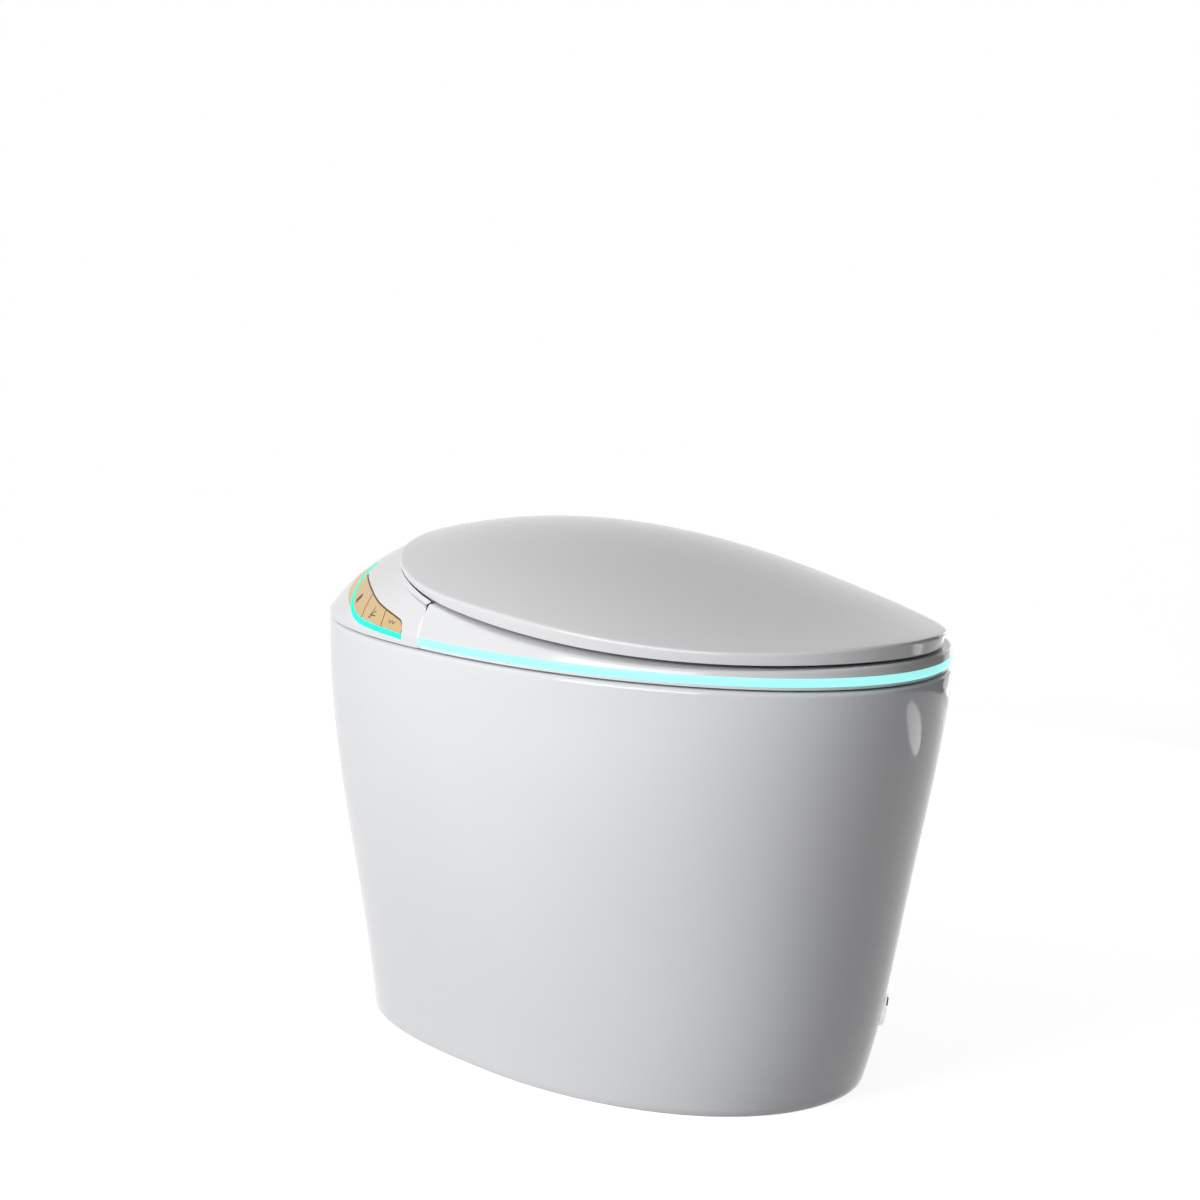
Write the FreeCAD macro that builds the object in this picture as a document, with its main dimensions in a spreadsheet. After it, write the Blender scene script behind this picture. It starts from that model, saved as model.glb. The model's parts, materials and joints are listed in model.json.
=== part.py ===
import FreeCAD, Part
import math
import os
import re

import Sketcher

# Smart toilet: skirted ceramic pedestal, hinged seat and lid, rear washing unit.
# Millimetres. +Z up, the user faces -Y, origin on the floor under the middle of the object.

SIZES = {
    # Pedestal outlines: half width, front and rear reach from the origin, widest place along Y
    "rim_top": 393,
    "rim_half_width": 210,
    "rim_front": 343,
    "rim_rear": 345,
    "rim_mid": 36.5,
    "rim_front_power": 2,
    "rim_rear_power": 2.42,
    "high_level": 300,
    "high_half_width": 208.6,
    "high_front": 326,
    "high_rear": 343.6,
    "mid_level": 200,
    "mid_half_width": 196,
    "mid_front": 302,
    "mid_rear": 334.8,
    "low_level": 100,
    "low_half_width": 180.5,
    "low_front": 280.6,
    "low_rear": 323.4,
    "foot_half_width": 169,
    "foot_front": 249.5,
    "foot_rear": 315,
    "foot_mid": 28,
    "foot_front_power": 2.1,
    "foot_rear_power": 2.59,
    "rim_round": 4.5,
    "china_wall": 12,
    "deck_thickness": 14,
    # Bowl and trapway
    "bowl_half_width": 158,
    "bowl_front": 296,
    "bowl_rear": 46,
    "bowl_mid": -70,
    "bowl_wall": 10,
    "waist_level": 285,
    "waist_half_width": 132,
    "waist_front": 262,
    "waist_rear": 30,
    "sump_level": 165,
    "sump_half_width": 58,
    "sump_front": 125,
    "sump_rear": -5,
    "trap_bore": 27,
    "trap_wall": 8,
    "trap_bend": 40,
    "trap_rise_y": 50,
    "weir_level": 245,
    "weir_front": 90,
    "weir_rear": 165,
    "fall_level": 150,
    "drop_level": 90,
    "outlet_y": 50,
    "horn_radius": 48,
    "horn_length": 30,
    "horn_lift": 12,
    # Service bay in the rear deck
    "bay_half_width": 118,
    "bay_front": 112,
    "bay_rear": 292,
    "bay_corner": 20,
    # Line between lid and seat, seen from the side: a hollow arc, then a crowned arc to the rear
    "edge_low_y": -223,
    "edge_low_z": 410.8,
    "edge_radius": 1582,
    "edge_turn_y": 85,
    "edge_rear_radius": 2700,
    "edge_gap": 3,
    # Lid
    "lid_half_width": 198.5,
    "lid_front": 345,
    "lid_rear": 237.5,
    "lid_mid": 24,
    "lid_power": 1.95,
    "lid_side_level": 442,
    "lid_slant": 0.3,
    "lid_round": 1.4,
    "lid_wall": 3.5,
    "lid_panel": 3,
    "lid_band": 10,
    "panel_recess": 0.5,
    "crown_radius": 537,
    "crown_front": 430.5,
    "crown_nose": 434,
    "crown_slope": 447,
    "crown_middle": 464,
    "crown_back": 479,
    "crown_top": 485,
    "crown_fall": 476.5,
    "crown_tail": 471.5,
    "crown_nose_y": 287,
    "crown_slope_y": 187,
    "crown_middle_y": 87,
    "crown_back_y": 13,
    "crown_top_y": 113,
    "crown_fall_y": 213,
    # Seat
    "seat_lift": 2,
    "lip_height": 2.5,
    "lip_inset": 1.6,
    "light_height": 7.5,
    "light_depth": 7,
    "light_proud": 0.6,
    "shoulder_level": 440,
    "shoulder_half_width": 193,
    "shoulder_front": 336.5,
    "belly_level": 422,
    "belly_half_width": 203,
    "belly_front": 341,
    "seat_wall": 4,
    "hole_half_width": 106,
    "hole_front": 258,
    "hole_rear": 34,
    "hole_mid": -100,
    "tongue_inset": 8,
    "tongue_thickness": 12,
    "tongue_rear": 215,
    "heater_thickness": 0.8,
    "heater_margin": 6,
    "port_half_width": 46,
    "port_top": 416,
    "arm_thickness": 6,
    "bumper_radius": 7,
    "lid_bumper_x": 150,
    "lid_bumper_y": -80,
    "lid_bumper_front_x": 60,
    "lid_bumper_front_y": -290,
    "seat_bumper_x": 184,
    "seat_bumper_y": 0,
    "seat_bumper_front_x": 116,
    "seat_bumper_front_y": -250,
    # Rear cover
    "seam_y": 58,
    "seam_gap": 0.8,
    "cover_lip": 9,
    "cover_wall": 3,
    "cover_half_width": 198,
    "cover_rear": 243.5,
    "bulge_seam": 1.5,
    "bulge_rear": 9.5,
    "platform_drop": 18,
    # Hinge
    "hinge_y": 228,
    "hinge_z": 461,
    "pin_radius": 3,
    "knuckle_radius": 5.5,
    "knuckle_width": 12,
    "knuckle_start": 8,
    "running_fit": 0.05,
    "side_play": 0.3,
    "bracket_width": 14,
    "pillar_setback": 1.5,
    "trough_radius": 18,
    "trough_half_width": 72,
    # Key panel on the right-hand side of a seated user
    "strip_start_y": 83,
    "strip_start_z": 402.5,
    "strip_run_y": 143,
    "strip_run_z": 404.5,
    "strip_bend_y": 190,
    "strip_bend_z": 413.5,
    "strip_hook_y": 211,
    "strip_hook_z": 429,
    "strip_end_y": 226,
    "strip_end_z": 444,
    "panel_front": 87,
    "panel_corner_z": 411,
    "panel_shoulder_y": 104,
    "panel_shoulder_z": 417,
    "panel_middle_y": 140,
    "panel_middle_z": 421.5,
    "panel_rise_y": 168,
    "panel_rise_z": 428.5,
    "panel_end_y": 214,
    "panel_end_z": 437,
    "trim_tip_y": 199,
    "trim_tip_z": 411,
    "trim_belly_y": 225,
    "trim_belly_z": 421,
    "trim_top_y": 232,
    "trim_top_z": 440,
    "key_split_front": 120,
    "key_split_rear": 162,
    "key_travel": 0.8,
    "key_gap": 0.35,
    "frame_line": 0.9,
    "strip_width": 6.6,
    "strip_tail_width": 4,
    "inlay_depth": 1.7,
    "inlay_gap": 0.1,
    "inlay_proud": 0.3,
    "strip_proud": 0.7,
    "frame_sunk": 0.3,
    "frame_margin": 2.5,
    "frame_plate": 1.5,
    # Washing unit: chassis, posts, bolts
    "fascia_offset": 2.4,
    "fascia_thickness": 3,
    "fascia_half_width": 184,
    "chassis_thickness": 3,
    "gasket_inset": 10,
    "gasket_width": 14,
    "post_radius": 5,
    "post_front_x": 84,
    "post_front_y": 92,
    "post_rear_x": 62,
    "post_rear_y": 202,
    "screw_radius": 1.6,
    "screw_head": 3.4,
    "screw_head_height": 2.4,
    "screw_length": 14,
    "bolt_radius": 3,
    "bolt_head": 6,
    "bolt_head_height": 4,
    "bolt_depth": 12,
    "bolt_x": 152,
    "bolt_front_y": 96,
    "bolt_rear_y": 240,
    "hole_play": 0.2,
    # Nozzle
    "nozzle_level": 407.5,
    "nozzle_tilt": 8,
    "wand_radius": 6.5,
    "wand_length": 132,
    "tip_length": 16,
    "tip_start": 1,
    "tip_nose": 3,
    "jet_radius": 1.4,
    "guide_half_width": 11,
    "guide_start": 18,
    "guide_length": 128,
    "motor_radius": 10,
    "motor_length": 15,
    "motor_place": 60,
    # Dryer
    "fan_x": 50,
    "fan_y": 152,
    "fan_radius": 28,
    "fan_height": 25,
    "fan_wall": 2,
    "fan_inlet": 13,
    "shaft_radius": 3,
    "shaft_length": 17,
    "impeller_radius": 22,
    "impeller_height": 16,
    "impeller_hub": 7,
    "impeller_disc": 2,
    "blade_thickness": 1.6,
    "duct_left": 18,
    "duct_width": 26,
    "duct_height": 13,
    "slat_thickness": 1.2,
    # Boards, heater, flush set
    "board_thickness": 1.6,
    "board_x": -140,
    "board_y": 104,
    "board_length": 92,
    "board_width": 84,
    "standoff": 4,
    "standoff_radius": 4,
    "standoff_inset": 6,
    "key_board_x": -180,
    "key_board_y": 94,
    "key_board_length": 38,
    "key_board_height": 18,
    "relay_length": 14,
    "relay_height": 11,
    "capacitor_radius": 6,
    "capacitor_height": 16,
    "boiler_x": 92,
    "boiler_y": 108,
    "boiler_length": 44,
    "boiler_width": 84,
    "boiler_height": 20,
    "boiler_port": 4,
    "tank_x": -106,
    "tank_y": 122,
    "tank_length": 144,
    "tank_width": 150,
    "tank_height": 88,
    "tank_round": 8,
    "pump_x": 82,
    "pump_y": 160,
    "pump_radius": 26,
    "pump_height": 74,
    "pump_cap": 19,
    "pump_cap_height": 10,
    # Water inlet and cord gland in the rear wall
    "inlet_x": 60,
    "inlet_z": 330,
    "inlet_radius": 10.4,
    "inlet_length": 13.5,
    "inlet_flange": 17,
    "flange_thickness": 2.5,
    "inlet_bore": 6,
    "tail_radius": 9,
    "inlet_tail": 33,
    "wall_boss": 26,
    "wall_boss_depth": 15,
    "recess_depth": 16,
    "recess_radius": 19,
    "nut_across": 30,
    "nut_height": 8,
    "valve_length": 34,
    "valve_width": 32,
    "valve_height": 30,
    "coil_radius": 11,
    "coil_height": 26,
    "gland_flange": 15,
    "gland_base": 9,
    "gland_nose": 6.5,
    "gland_dome": 10,
    "gland_bore": 4,
    "gland_tail": 25,
    # Foot sensor
    "sensor_level": 67,
    "sensor_turn": -60,
    "sensor_radius": 15.5,
    "sensor_lens": 11,
    "sensor_proud": 3,
    "sensor_sunk": 5,
    "sensor_floor": 2,
    "sensor_edge": 1.5,
    "lens_sink": 1,
    "lens_edge": 0.8,
    # General fits
    "seat_fit": 0.3,
}

doc = FreeCAD.newDocument("smart_toilet")
sheet = doc.addObject("Spreadsheet::Sheet", "sizes")
for row, (alias, value) in enumerate(SIZES.items(), start=1):
    sheet.set(f"A{row}", alias)
    sheet.set(f"B{row}", str(value))
    sheet.setAlias(f"B{row}", alias)
doc.recompute()


class Cells:
    """Reads a size from the sheet by its alias."""

    def __getattr__(self, alias):
        return float(sheet.get(alias))


S = Cells()
nodes = {}


def formula(text):
    """Write an expression on the sheet's cells from plain alias names."""
    def cell(match):
        word = match.group(0)
        return f"sizes.{word}" if word in SIZES else word
    return re.sub(r"[a-z]\w*", cell, str(text))


def bind(obj, **expressions):
    for prop, text in expressions.items():
        obj.setExpression(prop.replace("__", "."), formula(text))
    return obj


def place(obj, x, y, z):
    return bind(obj, Placement__Base__x=x, Placement__Base__y=y, Placement__Base__z=z)


def node(name, obj):
    """Name a finished piece."""
    obj.Label = name
    nodes[name] = obj
    return obj


def feature(name, shape):
    obj = doc.addObject("Part::Feature", name)
    obj.Shape = shape
    return obj


def box(name, x, y, z, length, width, height):
    obj = doc.addObject("Part::Box", name)
    bind(obj, Length=length, Width=width, Height=height)
    return place(obj, x, y, z)


TURN = {
    "Z": FreeCAD.Rotation(),
    "X": FreeCAD.Rotation(FreeCAD.Vector(0, 1, 0), 90),
    "Y": FreeCAD.Rotation(FreeCAD.Vector(1, 0, 0), -90),
}


def cylinder(name, axis, x, y, z, radius, height):
    """A round bar that starts at x, y, z and runs along +X, +Y or +Z."""
    obj = doc.addObject("Part::Cylinder", name)
    obj.Placement.Rotation = TURN[axis]
    bind(obj, Radius=radius, Height=height)
    return place(obj, x, y, z)


def fuse(name, *shapes):
    obj = doc.addObject("Part::MultiFuse", name)
    obj.Shapes = list(shapes)
    return obj


def cut(name, base, *tools):
    obj = doc.addObject("Part::Cut", name)
    obj.Base = base
    obj.Tool = tools[0] if len(tools) == 1 else fuse(name + "_tools", *tools)
    return obj


def common(name, *shapes):
    obj = doc.addObject("Part::MultiCommon", name)
    obj.Shapes = list(shapes)
    return obj


def loft(name, sections, ruled=False):
    obj = doc.addObject("Part::Loft", name)
    obj.Sections = sections
    obj.Solid = True
    obj.Ruled = ruled
    return obj


def mirrored(name, source):
    obj = doc.addObject("Part::Mirroring", name)
    obj.Source = source
    obj.Normal = FreeCAD.Vector(1, 0, 0)
    return obj


def both_sides(name, pieces):
    """All pieces and their mirror images as one group of separate solids."""
    obj = doc.addObject("Part::Compound", name)
    obj.Links = pieces + [mirrored(f"{piece.Name}_left", piece) for piece in pieces]
    return obj


def rounded_block(name, x, y, z, length, width, height, radius):
    """A block with its four upright edges rounded."""
    block = box(name + "_block", x, y, z, length, width, height)
    doc.recompute()
    upright = [i for i, edge in enumerate(block.Shape.Edges, start=1) if abs(edge.tangentAt(0).z) > 0.5]
    obj = doc.addObject("Part::Fillet", name)
    obj.Base = block
    obj.Edges = [(index, radius, radius) for index in upright]
    return obj


def profile(body, name, role, points):
    """A closed outline of straight runs; each corner is held by two bound distances from the origin."""
    sketch = body.newObject("Sketcher::SketchObject", name)
    plane = [part for part in body.Origin.OriginFeatures if part.Role == role][0]
    sketch.AttachmentSupport = [(plane, "")]
    sketch.MapMode = "FlatFace"
    count = len(points)
    corners = []
    for index in range(count):
        angle = 2 * math.pi * index / count
        corners.append(FreeCAD.Vector(math.cos(angle), math.sin(angle), 0))
    for index in range(count):
        sketch.addGeometry(Part.LineSegment(corners[index], corners[(index + 1) % count]))
    for index in range(count):
        sketch.addConstraint(Sketcher.Constraint("Coincident", index, 2, (index + 1) % count, 1))
    axes = (("DistanceX", -2), ("DistanceY", -1))
    for index, point in enumerate(points):
        for (kind, axis), text in zip(axes, point):
            if text == "0":
                sketch.addConstraint(Sketcher.Constraint("PointOnObject", index, 1, axis))
            else:
                row = sketch.addConstraint(Sketcher.Constraint(kind, -1, 1, index, 1, 1.0))
                sketch.setExpression(f"Constraints[{row}]", formula(text))
    return sketch


def turned(name, points):
    """A body turned about its upright axis; each point is a radius and a height."""
    body = doc.addObject("PartDesign::Body", name)
    sketch = profile(body, name + "_profile", "XZ_Plane", points)
    turn = body.newObject("PartDesign::Revolution", name + "_turn")
    turn.Profile = sketch
    turn.ReferenceAxis = (sketch, ["V_Axis"])
    return body


def hex_nut(name, across, bore, height):
    """A six-sided nut that stands on its own XY plane."""
    body = doc.addObject("PartDesign::Body", name)
    points = []
    for index in range(6):
        angle = math.radians(60 * index + 30)
        share = 1 / math.sqrt(3)
        points.append(tuple(
            "0" if abs(part) < 1e-9 else f"{across} * {part * share}"
            for part in (math.cos(angle), math.sin(angle))
        ))
    sketch = profile(body, name + "_profile", "XY_Plane", points)
    ring = sketch.addGeometry(Part.Circle(FreeCAD.Vector(), FreeCAD.Vector(0, 0, 1), 1))
    sketch.addConstraint(Sketcher.Constraint("Coincident", ring, 3, -1, 1))
    row = sketch.addConstraint(Sketcher.Constraint("Radius", ring, 1.0))
    sketch.setExpression(f"Constraints[{row}]", formula(bore))
    pad = body.newObject("PartDesign::Pad", name + "_pad")
    pad.Profile = sketch
    bind(pad, Length=height)
    return body


# Egg outlines: two superellipse halves that meet at the widest place

OUTLINE_POINTS = 24


class Egg:
    """A plan outline: half width, front and rear reach, widest place and the two powers."""

    def __init__(self, half_width, front, rear, mid, front_power, rear_power):
        self.half_width = half_width
        self.front = front
        self.rear = rear
        self.mid = mid
        self.powers = (front_power, rear_power)

    def inset(self, amount):
        return Egg(self.half_width - amount, self.front - amount, self.rear - amount, self.mid, *self.powers)

    def point(self, angle, z=0.0):
        """Angle 0 is the widest place on +X, a quarter turn is the rear."""
        side, along = math.cos(angle), math.sin(angle)
        power = self.powers[1] if along > 0 else self.powers[0]
        reach = self.rear - self.mid if along > 0 else self.front + self.mid
        x = self.half_width * math.copysign(abs(side) ** (2 / power), side)
        y = self.mid + reach * math.copysign(abs(along) ** (2 / power), along)
        return FreeCAD.Vector(x, y, z)

    def angle_at(self, y):
        """The angle on the +X side of a point behind the widest place."""
        share = (y - self.mid) / (self.rear - self.mid)
        return math.asin(share ** (self.powers[1] / 2))

    def rear_y(self, x):
        share = 1 - (abs(x) / self.half_width) ** self.powers[1]
        return self.mid + (self.rear - self.mid) * share ** (1 / self.powers[1])

    def wire(self, name, z):
        """A closed smooth curve; all outlines share their spacing, so that lofts between them stay light."""
        turn = 2 * math.pi / OUTLINE_POINTS
        curve = Part.BSplineCurve()
        curve.interpolate(
            [self.point(i * turn, z) for i in range(OUTLINE_POINTS)], PeriodicFlag=True,
            Parameters=[float(i) for i in range(OUTLINE_POINTS + 1)],
        )
        return feature(name, Part.Wire([curve.toShape()]))

    def facets(self, name, z):
        """The outline in straight runs, for sides that nobody sees."""
        turn = 2 * math.pi / OUTLINE_POINTS
        points = [self.point(i * turn, z) for i in range(OUTLINE_POINTS)]
        return feature(name, Part.makePolygon(points + points[:1]))

    def prism(self, name, low, height):
        """Straight-sided solid from a level up."""
        base = place(self.wire(name + "_low", 0), 0, 0, low)
        top = place(self.wire(name + "_high", 0), 0, 0, f"{low} + {height}")
        return loft(name, [base, top], ruled=True)


def section(prefix):
    """A pedestal outline at its level, with the widest place and powers between foot and rim."""
    share = getattr(S, prefix + "_level") / S.rim_top
    def between(a, b):
        return a + (b - a) * share
    return Egg(
        getattr(S, prefix + "_half_width"), getattr(S, prefix + "_front"), getattr(S, prefix + "_rear"),
        between(S.foot_mid, S.rim_mid), between(S.foot_front_power, S.rim_front_power),
        between(S.foot_rear_power, S.rim_rear_power),
    )


rim = Egg(S.rim_half_width, S.rim_front, S.rim_rear, S.rim_mid, S.rim_front_power, S.rim_rear_power)
foot = Egg(S.foot_half_width, S.foot_front, S.foot_rear, S.foot_mid, S.foot_front_power, S.foot_rear_power)
pedestal = [(0, foot)]
for level in ("low", "mid", "high"):
    pedestal.append((getattr(S, level + "_level"), section(level)))
pedestal.append((S.rim_top, rim))


# Ceramic body: walls follow smooth curves through the measured outlines, in narrow bands

WALL_BANDS = 6
HOLLOW_BANDS = 3
BOWL_BANDS = 5
ROUND_BANDS = 2


def smooth_egg(rows, z):
    """The outline at a level, on one smooth curve through rows of level and outline."""
    weights = []
    for level, egg in rows:
        weights.append(math.prod((z - other) / (level - other) for other, _ in rows if other != level))
    def blend(values):
        return sum(weight * value for weight, value in zip(weights, values))
    eggs = [egg for _, egg in rows]
    return Egg(
        blend([egg.half_width for egg in eggs]), blend([egg.front for egg in eggs]),
        blend([egg.rear for egg in eggs]),
        blend([egg.mid for egg in eggs]), blend([egg.powers[0] for egg in eggs]),
        blend([egg.powers[1] for egg in eggs]),
    )


def wall_egg(z):
    return smooth_egg(pedestal, z)


def banded(name, rows, hidden=False):
    """A solid of narrow straight bands through rows of level and outline."""
    outlines = []
    for index, (z, egg) in enumerate(rows):
        draw = egg.facets if hidden else egg.wire
        outlines.append(draw(f"{name}_row_{index}", z))
    return loft(name, outlines, ruled=True)


def wall_rows(inset, top, bands):
    levels = [top * index / bands for index in range(bands + 1)]
    return [(z, wall_egg(z).inset(inset)) for z in levels]


def rim_rows():
    """The rounded top edge: an arc of short bands above the wall."""
    rows = []
    for index in range(1, ROUND_BANDS + 1):
        turn = math.pi / 2 * index / ROUND_BANDS
        z = S.rim_top - S.rim_round * (1 - math.sin(turn))
        rows.append((z, wall_egg(z).inset(S.rim_round * (1 - math.cos(turn)))))
    return rows


def bowl_solid(name, grow, floor):
    opening = Egg(S.bowl_half_width, S.bowl_front, S.bowl_rear, S.bowl_mid, 2, 2.3)
    waist = Egg(S.waist_half_width, S.waist_front, S.waist_rear, S.bowl_mid, 2, 2.2)
    sump = Egg(S.sump_half_width, S.sump_front, S.sump_rear, S.bowl_mid, 2, 2)
    rows = [
        (floor, sump.inset(-grow)), (S.waist_level, waist.inset(-grow)),
        (S.rim_top, opening.inset(-grow)),
    ]
    levels = [floor + (S.rim_top - floor) * index / BOWL_BANDS for index in range(BOWL_BANDS + 1)]
    return banded(name, [(z, smooth_egg(rows, z)) for z in levels], hidden=grow > 0)


def rounded_path(points, radius):
    """Straight runs through the points, joined by tangent arcs."""
    edges = []
    last = points[0]
    for before, corner, after in zip(points, points[1:], points[2:]):
        come = (corner - before).normalize()
        leave = (after - corner).normalize()
        half_turn = come.getAngle(leave) / 2
        start = corner - come * (radius * math.tan(half_turn))
        end = corner + leave * (radius * math.tan(half_turn))
        inward = (leave - come).normalize()
        middle = corner + inward * (radius / math.cos(half_turn) - radius)
        edges.append(Part.LineSegment(last, start).toShape())
        edges.append(Part.Arc(start, middle, end).toShape())
        last = end
    edges.append(Part.LineSegment(last, points[-1]).toShape())
    return edges


def pipe(name, points, bend, radius):
    """A round bar along a rounded path, of straight runs and turned bends."""
    runs = []
    for edge in rounded_path(points, bend):
        along = edge.tangentAt(edge.FirstParameter)
        disc = Part.Face(Part.Wire([Part.makeCircle(radius, edge.valueAt(edge.FirstParameter), along)]))
        if isinstance(edge.Curve, Part.Circle):
            turn = math.degrees(edge.LastParameter - edge.FirstParameter)
            runs.append(disc.revolve(edge.Curve.Center, edge.Curve.Axis, turn))
        else:
            runs.append(disc.extrude(along * edge.Length))
    return feature(name, runs[0].multiFuse(runs[1:]))


def side(y, z, x=0.0):
    return FreeCAD.Vector(x, y, z)


trap_level = S.sump_level + S.trap_bore
trap_points = [
    side(S.bowl_mid, trap_level), side(S.trap_rise_y, trap_level), side(S.weir_front, S.weir_level),
    side(S.weir_rear, S.weir_level), side(S.weir_rear, S.fall_level), side(S.outlet_y, S.drop_level),
    side(S.outlet_y, S.horn_lift),
]
china_outer = banded("china_outer", wall_rows(0, S.rim_top - S.rim_round, WALL_BANDS) + rim_rows())
hollow_rows = wall_rows(S.china_wall, S.rim_top - S.deck_thickness, HOLLOW_BANDS)
china_hollow = banded("china_hollow", [(-S.china_wall, hollow_rows[0][1])] + hollow_rows, hidden=True)
china_shell = cut("china_shell", china_outer, china_hollow)
basin_outer = bowl_solid("basin_outer", S.bowl_wall, S.sump_level - S.bowl_wall)
basin_inner = bowl_solid("basin_inner", 0, S.sump_level)
trap_outer = pipe("trap_outer", trap_points, S.trap_bend, S.trap_bore + S.trap_wall)
trap_inner = pipe("trap_inner", trap_points, S.trap_bend, S.trap_bore)
horn = cylinder("horn", "Z", 0, "outlet_y", "horn_lift", "horn_radius", "horn_length")


# The line between lid and seat, as a curve on the middle plane and as solids across the width

SPAN = 2 * (S.rim_half_width + S.china_wall)
LINE_START = -S.lid_front - S.china_wall
LINE_END = S.rim_rear
turn_angle = math.asin((S.edge_turn_y - S.edge_low_y) / S.edge_radius)
turn_z = S.edge_low_z + S.edge_radius * (1 - math.cos(turn_angle))


def edge_z(y):
    """Height of the line between lid and seat."""
    if y <= S.edge_turn_y:
        run = y - S.edge_low_y
        return S.edge_low_z + S.edge_radius - math.sqrt(S.edge_radius ** 2 - run ** 2)
    run = y - S.edge_turn_y - S.edge_rear_radius * math.sin(turn_angle)
    drop = S.edge_rear_radius * math.cos(turn_angle)
    return turn_z - drop + math.sqrt(S.edge_rear_radius ** 2 - run ** 2)


def edge_arcs(rise):
    """The two arcs of the line, moved up."""
    def through(first, last):
        stops = (first, (first + last) / 2, last)
        return Part.Arc(*[side(y, edge_z(y) + rise) for y in stops]).toShape()
    return [through(LINE_START, S.edge_turn_y), through(S.edge_turn_y, LINE_END)]


def side_solid(name, edges):
    """A closed profile on the middle plane, carried across the whole width."""
    face = Part.Face(Part.Wire(edges))
    face.translate(FreeCAD.Vector(-SPAN / 2, 0, 0))
    return feature(name, face.extrude(FreeCAD.Vector(SPAN, 0, 0)))


def line(first, last):
    return Part.LineSegment(first, last).toShape()


def slab(name, low, high):
    """The space between two copies of the line, at the given rises above it."""
    ends = [side(y, edge_z(y) + rise) for rise in (low, high) for y in (LINE_START, LINE_END)]
    edges = edge_arcs(low) + [line(ends[1], ends[3])] + edge_arcs(high)[::-1] + [line(ends[2], ends[0])]
    return side_solid(name, Part.__sortEdges__(edges))


def below_line(name, rise):
    return slab(name, -S.edge_low_z, rise)


def above_line(name, rise):
    return slab(name, rise, S.edge_low_z)


half_gap = S.edge_gap / 2

# Lid: crowned shell with an undercut side band, closed below by a panel

lid_egg = Egg(S.lid_half_width, S.lid_front, S.lid_rear, S.lid_mid, S.lid_power, S.lid_power)


def lid_loft(name, inset):
    """Side of the lid, slanting inward downward; its sizes are met at the top edge."""
    wires = []
    for index, z in enumerate((S.rim_top, S.crown_top + S.lid_wall)):
        egg = Egg(
            S.lid_half_width + S.lid_slant * (z - S.lid_side_level),
            S.lid_front + S.lid_slant * (z - S.crown_front),
            S.lid_rear + S.lid_slant * (z - S.crown_tail), S.lid_mid, S.lid_power, S.lid_power,
        )
        wires.append(egg.inset(inset).wire(f"{name}_outline_{index}", z))
    return loft(name, wires, ruled=True)


def crown_solid(name, sink):
    """Solid under the crown: round arcs across, whose tops follow the middle profile."""
    stations = [
        (-S.lid_front, S.crown_front), (-S.crown_nose_y, S.crown_nose), (-S.crown_slope_y, S.crown_slope),
        (-S.crown_middle_y, S.crown_middle), (S.crown_back_y, S.crown_back), (S.crown_top_y, S.crown_top),
        (S.crown_fall_y, S.crown_fall), (S.lid_rear, S.crown_tail),
    ]
    ahead = 2 * stations[0][1] - stations[1][1]
    first = (2 * stations[0][0] - stations[1][0], ahead)
    last = (2 * stations[-1][0] - stations[-2][0], 2 * stations[-1][1] - stations[-2][1])
    reach = S.lid_half_width + S.china_wall
    drop = S.crown_radius - math.sqrt(S.crown_radius ** 2 - reach ** 2)
    bottom = S.rim_top - reach
    wires = []
    for y, z in [first] + stations + [last]:
        left, top, right = [side(y, z - sink - d, x) for x, d in ((-reach, drop), (0, 0), (reach, drop))]
        low_left, low_right = side(y, bottom, -reach), side(y, bottom, reach)
        arc = Part.Arc(left, top, right).toShape()
        wires.append(
            Part.Wire([arc, line(right, low_right), line(low_right, low_left), line(low_left, left)]),
        )
    return feature(name, Part.makeLoft(wires, True, False))


def crown_edges(obj):
    """Numbers of the edges that lie above the lower edge of the lid all the way."""
    found = []
    for index, edge in enumerate(obj.Shape.Edges, start=1):
        points = edge.discretize(9)
        if len(edge.Vertexes) and all(p.z > edge_z(p.y) + S.edge_gap for p in points):
            found.append(index)
    return found


lid_side = lid_loft("lid_side", 0)
lid_crown = crown_solid("lid_crown", 0)
lid_blank = cut("lid_blank", common("lid_block", lid_side, lid_crown), below_line("lid_underside", half_gap))
doc.recompute()
lid_rounded = doc.addObject("Part::Chamfer", "lid_rounded")
lid_rounded.Base = lid_blank
lid_rounded.Edges = [(index, S.lid_round, S.lid_round) for index in crown_edges(lid_blank)]
lid_cavity = common(
    "lid_cavity", lid_loft("lid_cavity_side", S.lid_wall), crown_solid("lid_cavity_top", S.lid_wall),
)
lid_outer = node("lid_outer", cut("lid_shell", lid_rounded, lid_cavity))

# Lid panel with its two hinge knuckles

panel_low = half_gap + S.panel_recess
lid_panel_plate = common(
    "lid_panel_plate", lid_loft("lid_panel_side", S.lid_wall + S.seat_fit),
    slab("lid_panel_slab", panel_low, panel_low + S.lid_panel),
    crown_solid("lid_panel_top", S.lid_wall + S.seat_fit),
)
lug_root = edge_z(S.hinge_y) + panel_low + S.lid_panel / 2 - S.hinge_z


def knuckle(name, start, arm):
    """A hinge barrel on the right with the arm that carries it, bored for the pin."""
    barrel = cylinder(name + "_barrel", "X", start, "hinge_y", "hinge_z", "knuckle_radius", "knuckle_width")
    bore = cylinder(
        name + "_bore", "X", start, "hinge_y", "hinge_z", "pin_radius + running_fit", "knuckle_width",
    )
    return fuse(name + "_solid", barrel, arm), bore


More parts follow.
